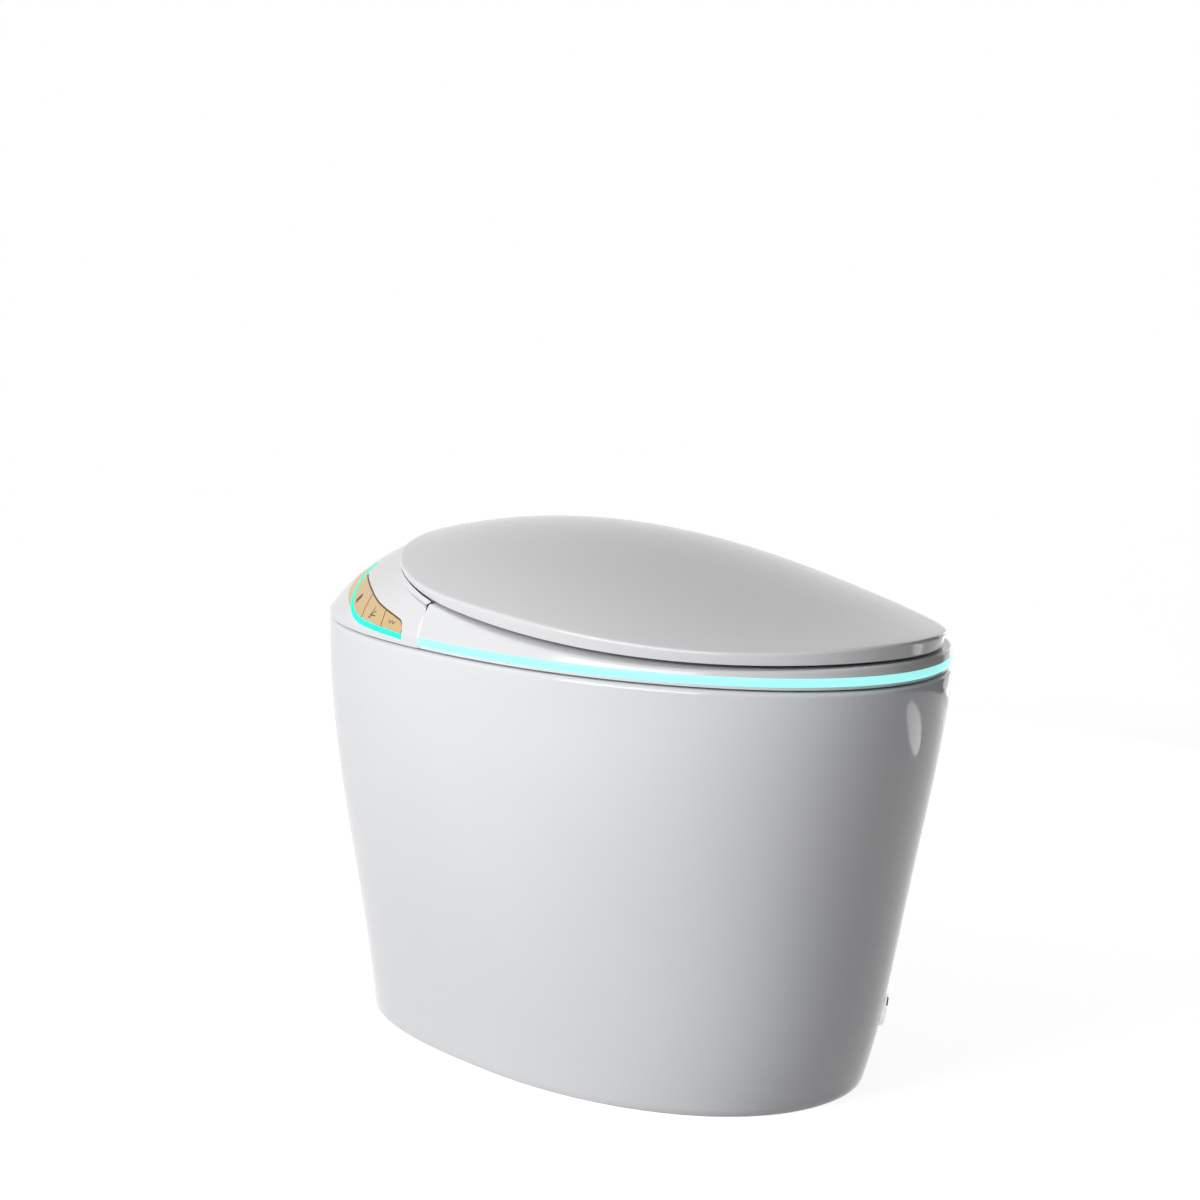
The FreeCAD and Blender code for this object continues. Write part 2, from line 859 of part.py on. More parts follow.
lid_lug = box(
    "lid_lug", "knuckle_start", "hinge_y - knuckle_radius", "hinge_z", "knuckle_width", "knuckle_radius",
    lug_root,
)
lid_knuckle, lid_bore = knuckle("lid_knuckle", "knuckle_start", lid_lug)
lid_panel_solid = fuse(
    "lid_panel_solid", lid_panel_plate, lid_knuckle, mirrored("lid_knuckle_left", lid_knuckle),
)
lid_inner = node(
    "lid_inner", cut("lid_panel_bored", lid_panel_solid, lid_bore, mirrored("lid_bore_left", lid_bore)),
)


def pads(name, places, low, high):
    """Round pads between two levels, in pairs on both sides."""
    rounds = []
    for index, (x, y) in enumerate(places):
        rod = cylinder(f"{name}_rod_{index}", "Z", x, y, "rim_top", "bumper_radius", "crown_top - rim_top")
        rounds += [rod, mirrored(f"{name}_rod_left_{index}", rod)]
    return common(name, fuse(name + "_rods", *rounds), slab(name + "_band", low, high))


lid_bumpers = node("lid_bumpers", pads(
    "lid_pads", [("lid_bumper_x", "lid_bumper_y"), ("lid_bumper_front_x", "lid_bumper_front_y")],
    S.seat_fit - half_gap, panel_low,
))

# Seat: base plate, light strip round the edge, top shell with a tongue to the hinge, heater foil

seat_low = S.rim_top + S.seat_lift
strip_low = seat_low + S.lip_height
strip_top = strip_low + S.light_height
seat_end = S.seam_y - S.seam_gap
hole_egg = Egg(S.hole_half_width, S.hole_front, S.hole_rear, S.hole_mid, 2, 2)


def seat_side(name, inset):
    """The seat's outer side above the light strip: rim outline, belly, shoulder."""
    rows = [(strip_top, rim.inset(S.light_proud))]
    rows.append((S.belly_level, Egg(S.belly_half_width, S.belly_front, S.rim_rear, S.rim_mid, 2, 2.2)))
    rows.append((S.shoulder_level, Egg(S.shoulder_half_width, S.shoulder_front, S.rim_rear, S.rim_mid, 2, 2)))
    wires = [egg.inset(inset).wire(f"{name}_outline_{i}", z) for i, (z, egg) in enumerate(rows)]
    return loft(name, wires)


def seat_mass(name, inset, band, rear):
    """The seat without its hole: side, foot inside the strip, kept in a band and to a rear end."""
    upper = seat_side(name + "_side", inset)
    foot_egg = rim.inset(S.light_depth + S.inlay_gap + inset)
    lower = foot_egg.prism(name + "_foot", strip_low, "light_height")
    ends = box(name + "_ends", -SPAN / 2, LINE_START, 0, SPAN, rear - LINE_START, "crown_top")
    return common(name, fuse(name + "_whole", upper, lower), band, ends)


def middle_block(name, half_width, front, rear, top):
    """A block across the middle of the seat, from the floor up."""
    return box(name, -half_width, front, 0, 2 * half_width, rear - front, top)


lid_inset = S.lid_slant * S.lid_band + S.tongue_inset
tongue_egg = lid_egg.inset(lid_inset)
tongue_front = (S.hole_rear + S.seam_y) / 2
tongue = common(
    "tongue", tongue_egg.prism("tongue_prism", "rim_top", "crown_top - rim_top"),
    slab("tongue_slab", -half_gap - S.tongue_thickness, -half_gap),
    box("tongue_length", -SPAN / 2, tongue_front, 0, SPAN, S.tongue_rear - tongue_front, "crown_top"),
)
seat_arm = box(
    "seat_arm", "knuckle_start + knuckle_width + side_play", "tongue_rear - tongue_thickness",
    "hinge_z - arm_thickness * 2 / 3", "knuckle_width", "hinge_y - tongue_rear + tongue_thickness",
    "arm_thickness",
)
seat_knuckle, seat_bore = knuckle("seat_knuckle", "knuckle_start + knuckle_width + side_play", seat_arm)
hole = hole_egg.prism("hole", "rim_top", "crown_top - rim_top")
hole_wall = hole_egg.inset(-S.seat_wall).prism("hole_wall", "rim_top", "crown_top - rim_top")
core = middle_block("seat_core", S.port_half_width + S.seat_wall, 0, S.seam_y, S.crown_top)
hollow_band = below_line("hollow_top", -half_gap - S.seat_wall)
hollow_mass = seat_mass("hollow_mass", S.seat_wall, hollow_band, seat_end - S.seat_wall)
seat_hollow = cut("seat_hollow", hollow_mass, hole_wall, core)
port = middle_block("port", S.port_half_width, 0, S.seam_y, S.port_top)
seat_whole = seat_mass("seat_mass", 0, below_line("seat_upper", -half_gap), seat_end)
seat_body = fuse(
    "seat_body", cut("seat_ring", seat_whole, seat_hollow, port), tongue, seat_knuckle,
    mirrored("seat_knuckle_left", seat_knuckle),
)
seat_top = node(
    "seat_top", cut("seat_open", seat_body, hole, seat_bore, mirrored("seat_bore_left", seat_bore)),
)

behind = box("behind_seam", -SPAN / 2, seat_end, 0, SPAN, "rim_rear", "crown_top")
seat_plate = rim.inset(S.lip_inset).prism("seat_plate", seat_low, "lip_height")
seat_base = node("seat_base", cut("seat_base_open", seat_plate, hole, port, behind))

strip_outer = rim.prism("strip_outer", strip_low, "light_height")
strip_inner = rim.inset(S.light_depth).prism("strip_inner", strip_low, "light_height")
seat_light = node("seat_light", cut("seat_strip", strip_outer, strip_inner, behind))

heater_top = -half_gap - S.seat_wall - S.seat_fit
heater_band = slab("heater_band", heater_top - S.heater_thickness, heater_top)
heater_end = tongue_front - S.heater_margin
heater_sheet = seat_mass("heater_sheet", S.seat_wall + S.heater_margin, heater_band, heater_end)
heater_hole = hole_egg.inset(-S.seat_wall - S.heater_margin)
heater_clear = middle_block(
    "heater_clear", S.port_half_width + S.seat_wall + S.heater_margin, -S.heater_margin, S.seam_y,
    S.crown_top,
)
seat_heater = node("seat_heater", cut(
    "heater_open", heater_sheet, heater_hole.prism("heater_hole", "rim_top", "crown_top - rim_top"),
    heater_clear,
))


# Seat bumpers on the ceramic rim

def rim_pads(name, places):
    rounds = []
    for index, (x, y) in enumerate(places):
        pad = cylinder(
            f"{name}_{index}", "Z", x, y, "rim_top + seat_fit", "bumper_radius", "seat_lift - seat_fit",
        )
        rounds += [pad, mirrored(f"{name}_left_{index}", pad)]
    obj = doc.addObject("Part::Compound", name)
    obj.Links = rounds
    return obj


seat_bumpers = node("seat_bumpers", rim_pads(
    "seat_pads", [("seat_bumper_x", "seat_bumper_y"), ("seat_bumper_front_x", "seat_bumper_front_y")],
))

# Rear cover: ribs from the rim outline up to the lid outline, skinned all round the rear

RIBS = 15
RIB_LEAD = 0.05
cover_egg = Egg(S.cover_half_width, S.lid_front, S.cover_rear, S.lid_mid, S.lid_power, S.lid_power)
rim_start = rim.angle_at(S.seam_y)
cover_start = cover_egg.angle_at(S.seam_y)


class Rib:
    """One upright profile of the cover; u runs inward from the rim outline."""

    def __init__(self, share):
        self.foot = rim.point(rim_start + (math.pi - 2 * rim_start) * share)
        ahead = share + RIB_LEAD * math.sin(2 * math.pi * share)
        self.head = cover_egg.point(cover_start + (math.pi - 2 * cover_start) * ahead)
        self.depth = (self.head - self.foot).Length
        self.inward = (self.head - self.foot).normalize()
        lip, top = seat_low + S.cover_lip, edge_z(self.head.y) - half_gap
        rise = top - lip
        chord = math.hypot(self.depth, rise)
        bulge = S.bulge_seam + (S.bulge_rear - S.bulge_seam) * math.sin(math.pi * share)
        self.radius = chord ** 2 / (8 * bulge) + bulge / 2
        back = (self.radius - bulge) / chord
        self.centre_u = self.depth / 2 + rise * back
        self.centre_z = (lip + top) / 2 - self.depth * back

    def height(self, u, offset):
        radius = self.radius + offset
        return self.centre_z + math.sqrt(radius ** 2 - (u - self.centre_u) ** 2)

    def at(self, u, z):
        point = self.foot + self.inward * u
        return FreeCAD.Vector(point.x, point.y, z)

    def arc(self, u_from, u_to, offset):
        stops = (u_from, (u_from + u_to) / 2, u_to)
        return [self.at(u, self.height(u, offset)) for u in stops]

    def skin(self, proud, sunk):
        """Closed profile between two offsets of the outer face."""
        outer = self.arc(-proud, self.depth, proud)
        inner = self.arc(self.depth, sunk, -sunk)
        outer_foot, inner_foot = self.at(-proud, seat_low), self.at(sunk, seat_low)
        return Part.Wire([
            line(outer_foot, outer[0]), Part.Arc(*outer).toShape(), line(outer[2], inner[0]),
            Part.Arc(*inner).toShape(), line(inner[2], inner_foot), line(inner_foot, outer_foot),
        ])

    def shell(self, wall):
        """Closed profile of the cover's wall, with the inner wall down to the platform."""
        outer = self.arc(0, self.depth, 0)
        inner = self.arc(self.depth - wall, wall, -wall)
        floor = edge_z(self.head.y) - S.platform_drop - 1.5 * wall
        outer_foot, inner_foot = self.at(0, seat_low), self.at(wall, seat_low)
        drop, turn = self.at(self.depth, floor), self.at(self.depth - wall, floor)
        return Part.Wire([
            line(outer_foot, outer[0]), Part.Arc(*outer).toShape(), line(outer[2], drop), line(drop, turn),
            line(turn, inner[0]), Part.Arc(*inner).toShape(), line(inner[2], inner_foot),
            line(inner_foot, outer_foot),
        ])


ribs = [Rib((1 - math.cos(math.pi * index / (RIBS - 1))) / 2) for index in range(RIBS)]


def skin(name, proud, sunk):
    return feature(name, Part.makeLoft([rib.skin(proud, sunk) for rib in ribs], True, False))


cover_shell = feature("cover_shell", Part.makeLoft([rib.shell(S.cover_wall) for rib in ribs], True, False))
platform_low = -S.platform_drop - S.cover_wall
platform = common(
    "platform", cover_egg.inset(-S.cover_wall / 2).prism("platform_prism", "rim_top", "crown_top - rim_top"),
    slab("platform_slab", platform_low, -S.platform_drop),
    box("platform_length", -SPAN / 2, "seam_y", 0, SPAN, "rim_rear", "crown_top"),
)
cover_solid = fuse("cover_solid", cover_shell, platform)


# Key panel: areas drawn on a plane at the right-hand side and carried inward

PANEL_REACH = S.rim_half_width / 2
STRIP_STEPS = 9


def spline(points):
    curve = Part.BSplineCurve()
    curve.interpolate(points)
    return curve


def panel_prism(name, edges):
    face = Part.Face(Part.Wire(edges))
    face.translate(FreeCAD.Vector(-SPAN / 2, 0, 0))
    return feature(name, face.extrude(FreeCAD.Vector(PANEL_REACH, 0, 0)))


strip_line = spline([
    side(S.strip_start_y, S.strip_start_z), side(S.strip_run_y, S.strip_run_z),
    side(S.strip_bend_y, S.strip_bend_z),
    side(S.strip_hook_y, S.strip_hook_z), side(S.strip_end_y, S.strip_end_z),
])


def strip_prism(name, grow):
    """The light strip: a band about its line that narrows towards the hooked end."""
    low, high = strip_line.FirstParameter, strip_line.LastParameter
    upper, lower = [], []
    for step in range(STRIP_STEPS):
        share = step / (STRIP_STEPS - 1)
        place_on = low + (high - low) * share
        point, along = strip_line.value(place_on), strip_line.tangent(place_on)[0]
        half = (S.strip_width + (S.strip_tail_width - S.strip_width) * share) / 2 + grow
        across = FreeCAD.Vector(0, -along.z, along.y) * half
        beyond = along * (grow if step == STRIP_STEPS - 1 else -grow if step == 0 else 0)
        upper.append(point + across + beyond)
        lower.append(point - across + beyond)
    return panel_prism(name, [
        spline(upper).toShape(), line(upper[-1], lower[-1]), spline(lower).toShape(),
        line(lower[0], upper[0]),
    ])


def leaf_prism(name, inset):
    """The key area: between the strip line and the top edge of the panel."""
    front = S.panel_front + inset
    top = [
        side(front, S.panel_corner_z), side(S.panel_shoulder_y, S.panel_shoulder_z - inset),
        side(S.panel_middle_y, S.panel_middle_z - inset), side(S.panel_rise_y, S.panel_rise_z - inset),
        side(S.panel_end_y - inset, S.panel_end_z - inset),
    ]
    start = side(front, S.strip_start_z)
    hook = side(S.strip_hook_y - inset, S.strip_hook_z)
    low = [start, side(S.strip_run_y, S.strip_run_z), side(S.strip_bend_y, S.strip_bend_z), hook]
    return panel_prism(name, [
        spline(low).toShape(), line(hook, top[-1]), spline(top).toShape(), line(top[0], start),
    ])


def trim_prism(name, inset):
    """The gold corner behind the hooked strip."""
    tip, top = side(S.trim_tip_y, S.trim_tip_z), side(S.trim_top_y - inset, S.trim_top_z - inset)
    belly = side(S.trim_belly_y - inset, S.trim_belly_z + inset)
    hook = side(S.strip_hook_y, S.strip_hook_z)
    return panel_prism(name, [spline([tip, belly, top]).toShape(), line(top, hook), line(hook, tip)])


def y_range(name, front, rear):
    return box(name, -SPAN / 2, front, 0, PANEL_REACH, rear - front, "crown_top")


inlay_zone = skin("inlay_zone", S.cover_wall, S.inlay_depth + S.inlay_gap)
strip_pocket = common("strip_pocket", strip_prism("strip_hole", S.inlay_gap), inlay_zone)
trim_pocket = common("trim_pocket", trim_prism("trim_hole", 0), inlay_zone)
window = leaf_prism("window", 0)
cover_open = cut("cover_open", cover_solid, strip_pocket, trim_pocket, window)

panel_light = node("panel_light", common(
    "panel_light_solid", strip_prism("strip_band", 0), skin("strip_skin", S.strip_proud, S.inlay_depth),
))
corner_trim = node("corner_trim", cut(
    "corner_trim_solid",
    common(
        "trim_leaf", trim_prism("trim_area", S.inlay_gap), skin("trim_skin", S.inlay_proud, S.inlay_depth),
    ),
    strip_prism("trim_strip_clear", S.inlay_gap),
))

strip_clear = strip_prism("strip_clear", S.key_gap)
key_skin = skin("key_skin", S.inlay_proud, S.cover_wall - S.key_travel)
key_area = cut("key_area", leaf_prism("key_leaf", S.frame_line + S.key_gap), strip_clear)
half_groove = S.frame_line / 2 + S.key_gap
key_stops = [S.panel_front - half_groove, S.key_split_front, S.key_split_rear, S.strip_end_y + half_groove]
for name, front, rear in zip(("key_dry", "key_wash", "key_flush"), key_stops, key_stops[1:]):
    reach = y_range(name + "_range", front + half_groove, rear - half_groove)
    node(name, common(name + "_solid", key_area, reach, key_skin))

key_rooms = []
for index, (front, rear) in enumerate(zip(key_stops, key_stops[1:])):
    reach = y_range(f"key_room_range_{index}", front + S.frame_line / 2, rear - S.frame_line / 2)
    key_rooms.append(common(f"key_room_{index}", leaf_prism(f"key_room_leaf_{index}", S.frame_line), reach))
frame_bars = cut(
    "frame_bars",
    common(
        "frame_leaf", leaf_prism("frame_area", S.inlay_gap),
        skin("frame_skin", -S.frame_sunk, S.cover_wall + S.frame_plate / 2),
    ),
    strip_prism("frame_strip_clear", S.inlay_gap), *key_rooms,
)
plate_skin = skin("plate_skin", -S.cover_wall - S.inlay_gap, S.cover_wall + S.frame_plate)
frame_plate = common("frame_plate", leaf_prism("frame_plate_area", -S.frame_margin), plate_skin)
key_frame = node("key_frame", fuse("key_frame_solid", frame_bars, frame_plate))


# Chassis of the washing unit, with posts that carry the cover, gasket, bolts and screws

fascia_y = S.seam_y + S.fascia_offset
deck_top = seat_low + S.chassis_thickness
chassis_egg = rim.inset(S.cover_wall + S.seat_fit)


def half_plan(name, egg, front, low, height):
    """The part of an outline behind a cross line, as a plate."""
    return common(
        name, egg.prism(name + "_prism", low, height),
        box(name + "_rear", -SPAN / 2, front, 0, SPAN, "rim_rear", "crown_top"),
    )


fascia_top = edge_z(fascia_y) + platform_low - S.seat_fit
fascia = box(
    "fascia", "-fascia_half_width", "seam_y + fascia_offset", seat_low, "2 * fascia_half_width",
    "fascia_thickness",
    fascia_top - seat_low,
)
posts, screws, screw_holes, screw_sinks = [], [], [], []
for place_name in ("front", "rear"):
    x, y = f"post_{place_name}_x", f"post_{place_name}_y"
    head_z = edge_z(getattr(S, y)) - S.platform_drop - S.screw_head_height / 2
    post = cylinder(f"post_{place_name}", "Z", x, y, seat_low, "post_radius", "crown_top - rim_top")
    posts.append(
        common(
            f"post_cut_{place_name}", post, below_line(f"post_top_{place_name}", platform_low - S.seat_fit),
        ),
    )
    head = cylinder(f"screw_head_{place_name}", "Z", x, y, head_z, "screw_head", "screw_head_height")
    shank = cylinder(
        f"screw_shank_{place_name}", "Z", x, y, f"{head_z} - screw_length", "screw_radius", "screw_length",
    )
    screws.append(fuse(f"screw_{place_name}", head, shank))
    screw_holes.append(cylinder(
        f"screw_hole_{place_name}", "Z", x, y, f"{head_z} - screw_length - hole_play",
        "screw_radius + hole_play",
        "2 * screw_length",
    ))
    screw_sinks.append(cylinder(
        f"screw_sink_{place_name}", "Z", x, y, f"{head_z} - hole_play", "screw_head + hole_play",
        "screw_length",
    ))
holes_pair = both_sides("screw_holes", screw_holes)
sinks_pair = both_sides("screw_sinks", screw_sinks)
cover_screws = node("cover_screws", both_sides("cover_screw_set", screws))
hinge_trough = common(
    "hinge_trough",
    cylinder(
        "trough_round", "X", "-trough_half_width", "hinge_y", "hinge_z", "trough_radius",
        "2 * trough_half_width",
    ),
    above_line("trough_floor", -S.platform_drop),
)
rear_cover = node("rear_cover", cut("cover_drilled", cover_open, holes_pair, sinks_pair, hinge_trough))

bolts, bolt_holes = [], []
for place_name in ("front", "rear"):
    y = f"bolt_{place_name}_y"
    head = cylinder(f"bolt_head_{place_name}", "Z", "bolt_x", y, deck_top, "bolt_head", "bolt_head_height")
    shank = cylinder(
        f"bolt_shank_{place_name}", "Z", "bolt_x", y, "rim_top - bolt_depth", "bolt_radius",
        f"{deck_top} - rim_top + bolt_depth",
    )
    bolts.append(fuse(f"bolt_{place_name}", head, shank))
    bolt_holes.append(cylinder(
        f"bolt_hole_{place_name}", "Z", "bolt_x", y, "rim_top - bolt_depth - hole_play",
        "bolt_radius + hole_play",
        "deck_thickness + seat_lift + chassis_thickness",
    ))
bolt_holes = both_sides("bolt_holes", bolt_holes)
chassis_bolts = node("chassis_bolts", both_sides("chassis_bolt_set", bolts))

gasket_egg = rim.inset(S.gasket_inset)
gasket_front = fascia_y + S.fascia_thickness
gasket = node("deck_gasket", cut(
    "gasket_ring", half_plan("gasket_plan", gasket_egg, gasket_front, "rim_top", "seat_lift"),
    half_plan(
        "gasket_open", gasket_egg.inset(S.gasket_width), gasket_front + S.gasket_width, "rim_top",
        "seat_lift",
    ),
    bolt_holes,
))

# Nozzle: wand on a slanted line through the fascia, in a channelled guide

tilt = math.radians(S.nozzle_tilt)
nozzle_turn = FreeCAD.Rotation(FreeCAD.Vector(1, 0, 0), S.nozzle_tilt - 90)


def on_nozzle(along):
    return fascia_y + along * math.cos(tilt), S.nozzle_level + along * math.sin(tilt)


def nozzle_bar(name, along, radius, length):
    obj = doc.addObject("Part::Cylinder", name)
    obj.Placement.Rotation = nozzle_turn
    bind(obj, Radius=radius, Height=length)
    return place(obj, 0, *on_nozzle(along))


wand_start = S.tip_start + S.tip_length
node("nozzle_wand", nozzle_bar("wand", wand_start, "wand_radius", "wand_length"))
tip_bar = nozzle_bar("tip_bar", S.tip_start, "wand_radius", "tip_length")
doc.recompute()
tip_round = doc.addObject("Part::Chamfer", "tip_round")
tip_round.Base = tip_bar
nose_y = on_nozzle(S.tip_start)[0]
nose_edges = [i for i, edge in enumerate(tip_bar.Shape.Edges, start=1) if edge.CenterOfMass.y < nose_y + 1]
tip_round.Edges = [(index, S.tip_nose, S.tip_nose) for index in nose_edges]
jet_y, jet_z = on_nozzle(S.tip_start + S.tip_length / 2)
jet = cylinder("jet", "Z", 0, jet_y, jet_z, "jet_radius", "2 * wand_radius")
node("nozzle_tip", cut("tip_bored", tip_round, jet))

guide_front, guide_front_z = on_nozzle(S.guide_start)
guide_rear, guide_rear_z = on_nozzle(S.guide_start + S.guide_length)
guide_face = Part.Face(Part.makePolygon([
    side(guide_front, deck_top, -S.guide_half_width), side(guide_rear, deck_top, -S.guide_half_width),
    side(guide_rear, guide_rear_z, -S.guide_half_width),
    side(guide_front, guide_front_z, -S.guide_half_width),
    side(guide_front, deck_top, -S.guide_half_width),
]))
guide_wedge = feature("guide_wedge", guide_face.extrude(FreeCAD.Vector(2 * S.guide_half_width, 0, 0)))
node(
    "nozzle_guide",
    cut("guide", guide_wedge, nozzle_bar("channel", 0, "wand_radius + seat_fit", "2 * wand_length")),
)
motor_y = on_nozzle(S.motor_place)[0]
node("nozzle_motor", cylinder(
    "motor", "X", "-guide_half_width - motor_length", motor_y + S.motor_radius,
    deck_top + S.motor_radius + S.seat_fit,
    "motor_radius", "motor_length",
))
nozzle_hole = nozzle_bar("nozzle_hole", -S.wand_length / 2, "wand_radius + 2 * seat_fit", "wand_length")

# Dryer: volute with a shaft, impeller and an outlet grille in the fascia

duct_rear = "fan_y - seam_y - fascia_offset - fascia_thickness"
fan_case = cylinder("fan_case", "Z", "fan_x", "fan_y", deck_top, "fan_radius", "fan_height")
fan_duct = box(
    "fan_duct", "duct_left", "seam_y + fascia_offset + fascia_thickness", deck_top, "duct_width", duct_rear,
    "duct_height",
)
fan_room = cylinder(
    "fan_room", "Z", "fan_x", "fan_y", f"{deck_top} + fan_wall", "fan_radius - fan_wall",
    "fan_height - 2 * fan_wall",
)
duct_room = box(
    "duct_room", "duct_left + fan_wall", "seam_y", f"{deck_top} + fan_wall", "duct_width - 2 * fan_wall",
    "fan_y - seam_y", "duct_height - 2 * fan_wall",
)
fan_eye = cylinder(
    "fan_eye", "Z", "fan_x", "fan_y", f"{deck_top} + fan_height / 2", "fan_inlet", "fan_height",
)
fan_shaft = cylinder("fan_shaft", "Z", "fan_x", "fan_y", deck_top, "shaft_radius", "fan_wall + shaft_length")
node("dryer_housing", fuse(
    "dryer_volute",
    cut("volute_open", fuse("volute_block", fan_case, fan_duct), fan_room, duct_room, fan_eye), fan_shaft,
))

BLADES = 12
impeller_low = deck_top + S.fan_wall + S.seat_fit
wheel = [cylinder("impeller_plate", "Z", "fan_x", "fan_y", impeller_low, "impeller_radius", "impeller_disc")]
wheel.append(
    cylinder("impeller_core", "Z", "fan_x", "fan_y", impeller_low, "impeller_hub", "impeller_height"),
)
blade_length = S.impeller_radius - S.impeller_hub / 2
for index in range(BLADES):
    turn = FreeCAD.Rotation(FreeCAD.Vector(0, 0, 1), 360 * index / BLADES)
    middle = FreeCAD.Vector(S.fan_x, S.fan_y, impeller_low)
    blade = Part.makeBox(
        blade_length, S.blade_thickness, S.impeller_height,
        FreeCAD.Vector(S.impeller_hub / 2, -S.blade_thickness / 2, 0),
    )
    blade.Placement = FreeCAD.Placement(middle, turn)
    wheel.append(feature(f"blade_{index}", blade))
impeller_rim = cylinder(
    "impeller_rim", "Z", "fan_x", "fan_y", impeller_low, "impeller_radius", "impeller_height",
)
impeller_bore = cylinder(
    "impeller_bore", "Z", "fan_x", "fan_y", impeller_low, "shaft_radius + running_fit", "impeller_height",
)
node("dryer_impeller", cut(
    "impeller_bored", common("impeller_wheel", fuse("impeller_set", *wheel), impeller_rim), impeller_bore,
))

port_x, port_wide = "duct_left + fan_wall + seat_fit", "duct_width - 2 * fan_wall - 2 * seat_fit"
port_z, port_tall = f"{deck_top} + fan_wall + seat_fit", "duct_height - 2 * fan_wall - 2 * seat_fit"
grille_block = box(
    "grille_block", port_x, "seam_y + fascia_offset", port_z, port_wide, "2 * fascia_thickness", port_tall,
)
SLOTS = 3
slots = []
for index in range(SLOTS):
    pitch = f"({port_wide} - slat_thickness) / {SLOTS}"
    slots.append(box(
        f"slot_{index}", f"{port_x} + slat_thickness + {index} * {pitch}", "seam_y",
        f"{port_z} + slat_thickness",
        f"{pitch} - slat_thickness", "fascia_offset + 3 * fascia_thickness",
        f"{port_tall} - 2 * slat_thickness",
    ))
node("dryer_outlet", cut("grille", grille_block, *slots))
standoffs = []
for along in ("standoff_inset", "board_length - standoff_inset"):
    for across in ("standoff_inset", "board_width - standoff_inset"):
        standoffs.append(cylinder(
            f"standoff_{len(standoffs)}", "Z", f"board_x + {along}", f"board_y + {across}", seat_low,
            "standoff_radius",
            "chassis_thickness + standoff",
        ))
node("chassis", cut(
    "chassis_open",
    fuse(
        "chassis_block", half_plan("chassis_plate", chassis_egg, fascia_y, seat_low, "chassis_thickness"),
        fascia,
        both_sides("post_set", posts), *standoffs,
    ),
    nozzle_hole, duct_room, bolt_holes, holes_pair,
))

# Hinge brackets on the platform, and the pins that seat and lid turn on

bracket_x = "knuckle_start + 2 * knuckle_width + 2 * side_play"
boss = cylinder("bracket_boss", "X", bracket_x, "hinge_y", "hinge_z", "knuckle_radius", "bracket_width")
pillar = common(
    "pillar", box(
        "pillar_block", bracket_x, "hinge_y - knuckle_radius - pillar_setback", "rim_top", "bracket_width",
        "knuckle_radius",
        "hinge_z - rim_top",
    ), above_line("pillar_foot", S.inlay_gap - S.platform_drop),
)
bracket_bore = cylinder(
    "bracket_bore", "X", bracket_x, "hinge_y", "hinge_z", "pin_radius + running_fit",
    "bracket_width - fan_wall",
)
bracket = cut("bracket", fuse("bracket_block", boss, pillar), bracket_bore)
node("hinge_brackets", both_sides("bracket_set", [bracket]))
pin = cylinder(
    "pin", "X", "knuckle_start - side_play", "hinge_y", "hinge_z", "pin_radius",
    "2 * knuckle_width + 3 * side_play + bracket_width - fan_wall",
)
node("hinge_pins", both_sides("pin_set", [pin]))

# Boards, water heater and flush set

board_z = f"{deck_top} + standoff"
board = box("board", "board_x", "board_y", board_z, "board_length", "board_width", "board_thickness")
board_top = f"{deck_top} + standoff + board_thickness"
RELAYS = 3
board_set = [board]
for index in range(RELAYS):
    step = f"board_y + capacitor_radius + {index} * 1.5 * relay_length"
    board_set.append(box(
        f"relay_{index}", "board_x + relay_length", step, board_top, "2 * relay_length", "relay_length",
        "relay_height",
    ))
    board_set.append(cylinder(
        f"capacitor_{index}", "Z", "board_x + board_length - relay_length", f"{step} + relay_length / 2",
        board_top,
        "capacitor_radius", "capacitor_height",
    ))
node("main_board", fuse("main_board_set", *board_set))
node("key_board", box(
    "key_board_plate", "key_board_x", "key_board_y", deck_top, "board_thickness", "key_board_length",
    "key_board_height",
))

boiler_case = rounded_block(
    "boiler_case", "boiler_x", "boiler_y", deck_top, "boiler_length", "boiler_width", "boiler_height",
    S.tank_round,
)
ports = []
for index, share in enumerate(("boiler_length / 4", "3 * boiler_length / 4")):
    ports.append(cylinder(
        f"boiler_port_{index}", "Y", f"boiler_x + {share}", "boiler_y + boiler_width - boiler_port",
        f"{deck_top} + boiler_height / 2", "boiler_port", "4 * boiler_port",
    ))
node("water_heater", fuse("boiler", boiler_case, *ports))

hang_z = "rim_top + seat_lift - seat_fit"
node("flush_tank", rounded_block(
    "tank", "tank_x", "tank_y", f"{hang_z} - tank_height", "tank_length", "tank_width", "tank_height",
    S.tank_round,
))
pump_barrel = cylinder(
    "pump_barrel", "Z", "pump_x", "pump_y", f"{hang_z} - pump_height", "pump_radius", "pump_height",
)
pump_end = cylinder(
    "pump_end", "Z", "pump_x", "pump_y", f"{hang_z} - pump_height - pump_cap_height", "pump_cap",
    "pump_cap_height",
)
node("flush_pump", fuse("pump", pump_barrel, pump_end))

# Water inlet and cord gland, each through a boss in the rear wall

seat_face = "rim_rear - recess_depth"
inner_face = "rim_rear - recess_depth - wall_boss_depth"
wall_boss = cylinder("wall_boss", "Y", "inlet_x", inner_face, "inlet_z", "wall_boss", "wall_boss_depth")
wall_recess = cylinder(
    "wall_recess", "Y", "inlet_x", seat_face, "inlet_z", "recess_radius", "2 * recess_depth",
)
wall_hole = cylinder(
    "wall_hole", "Y", "inlet_x", f"{inner_face} - wall_boss_depth", "inlet_z", "tail_radius + hole_play",
    "2 * wall_boss_depth + recess_depth",
)


def on_wall(body, x, y):
    body.Placement.Rotation = TURN["Y"]
    return place(body, x, y, "inlet_z")


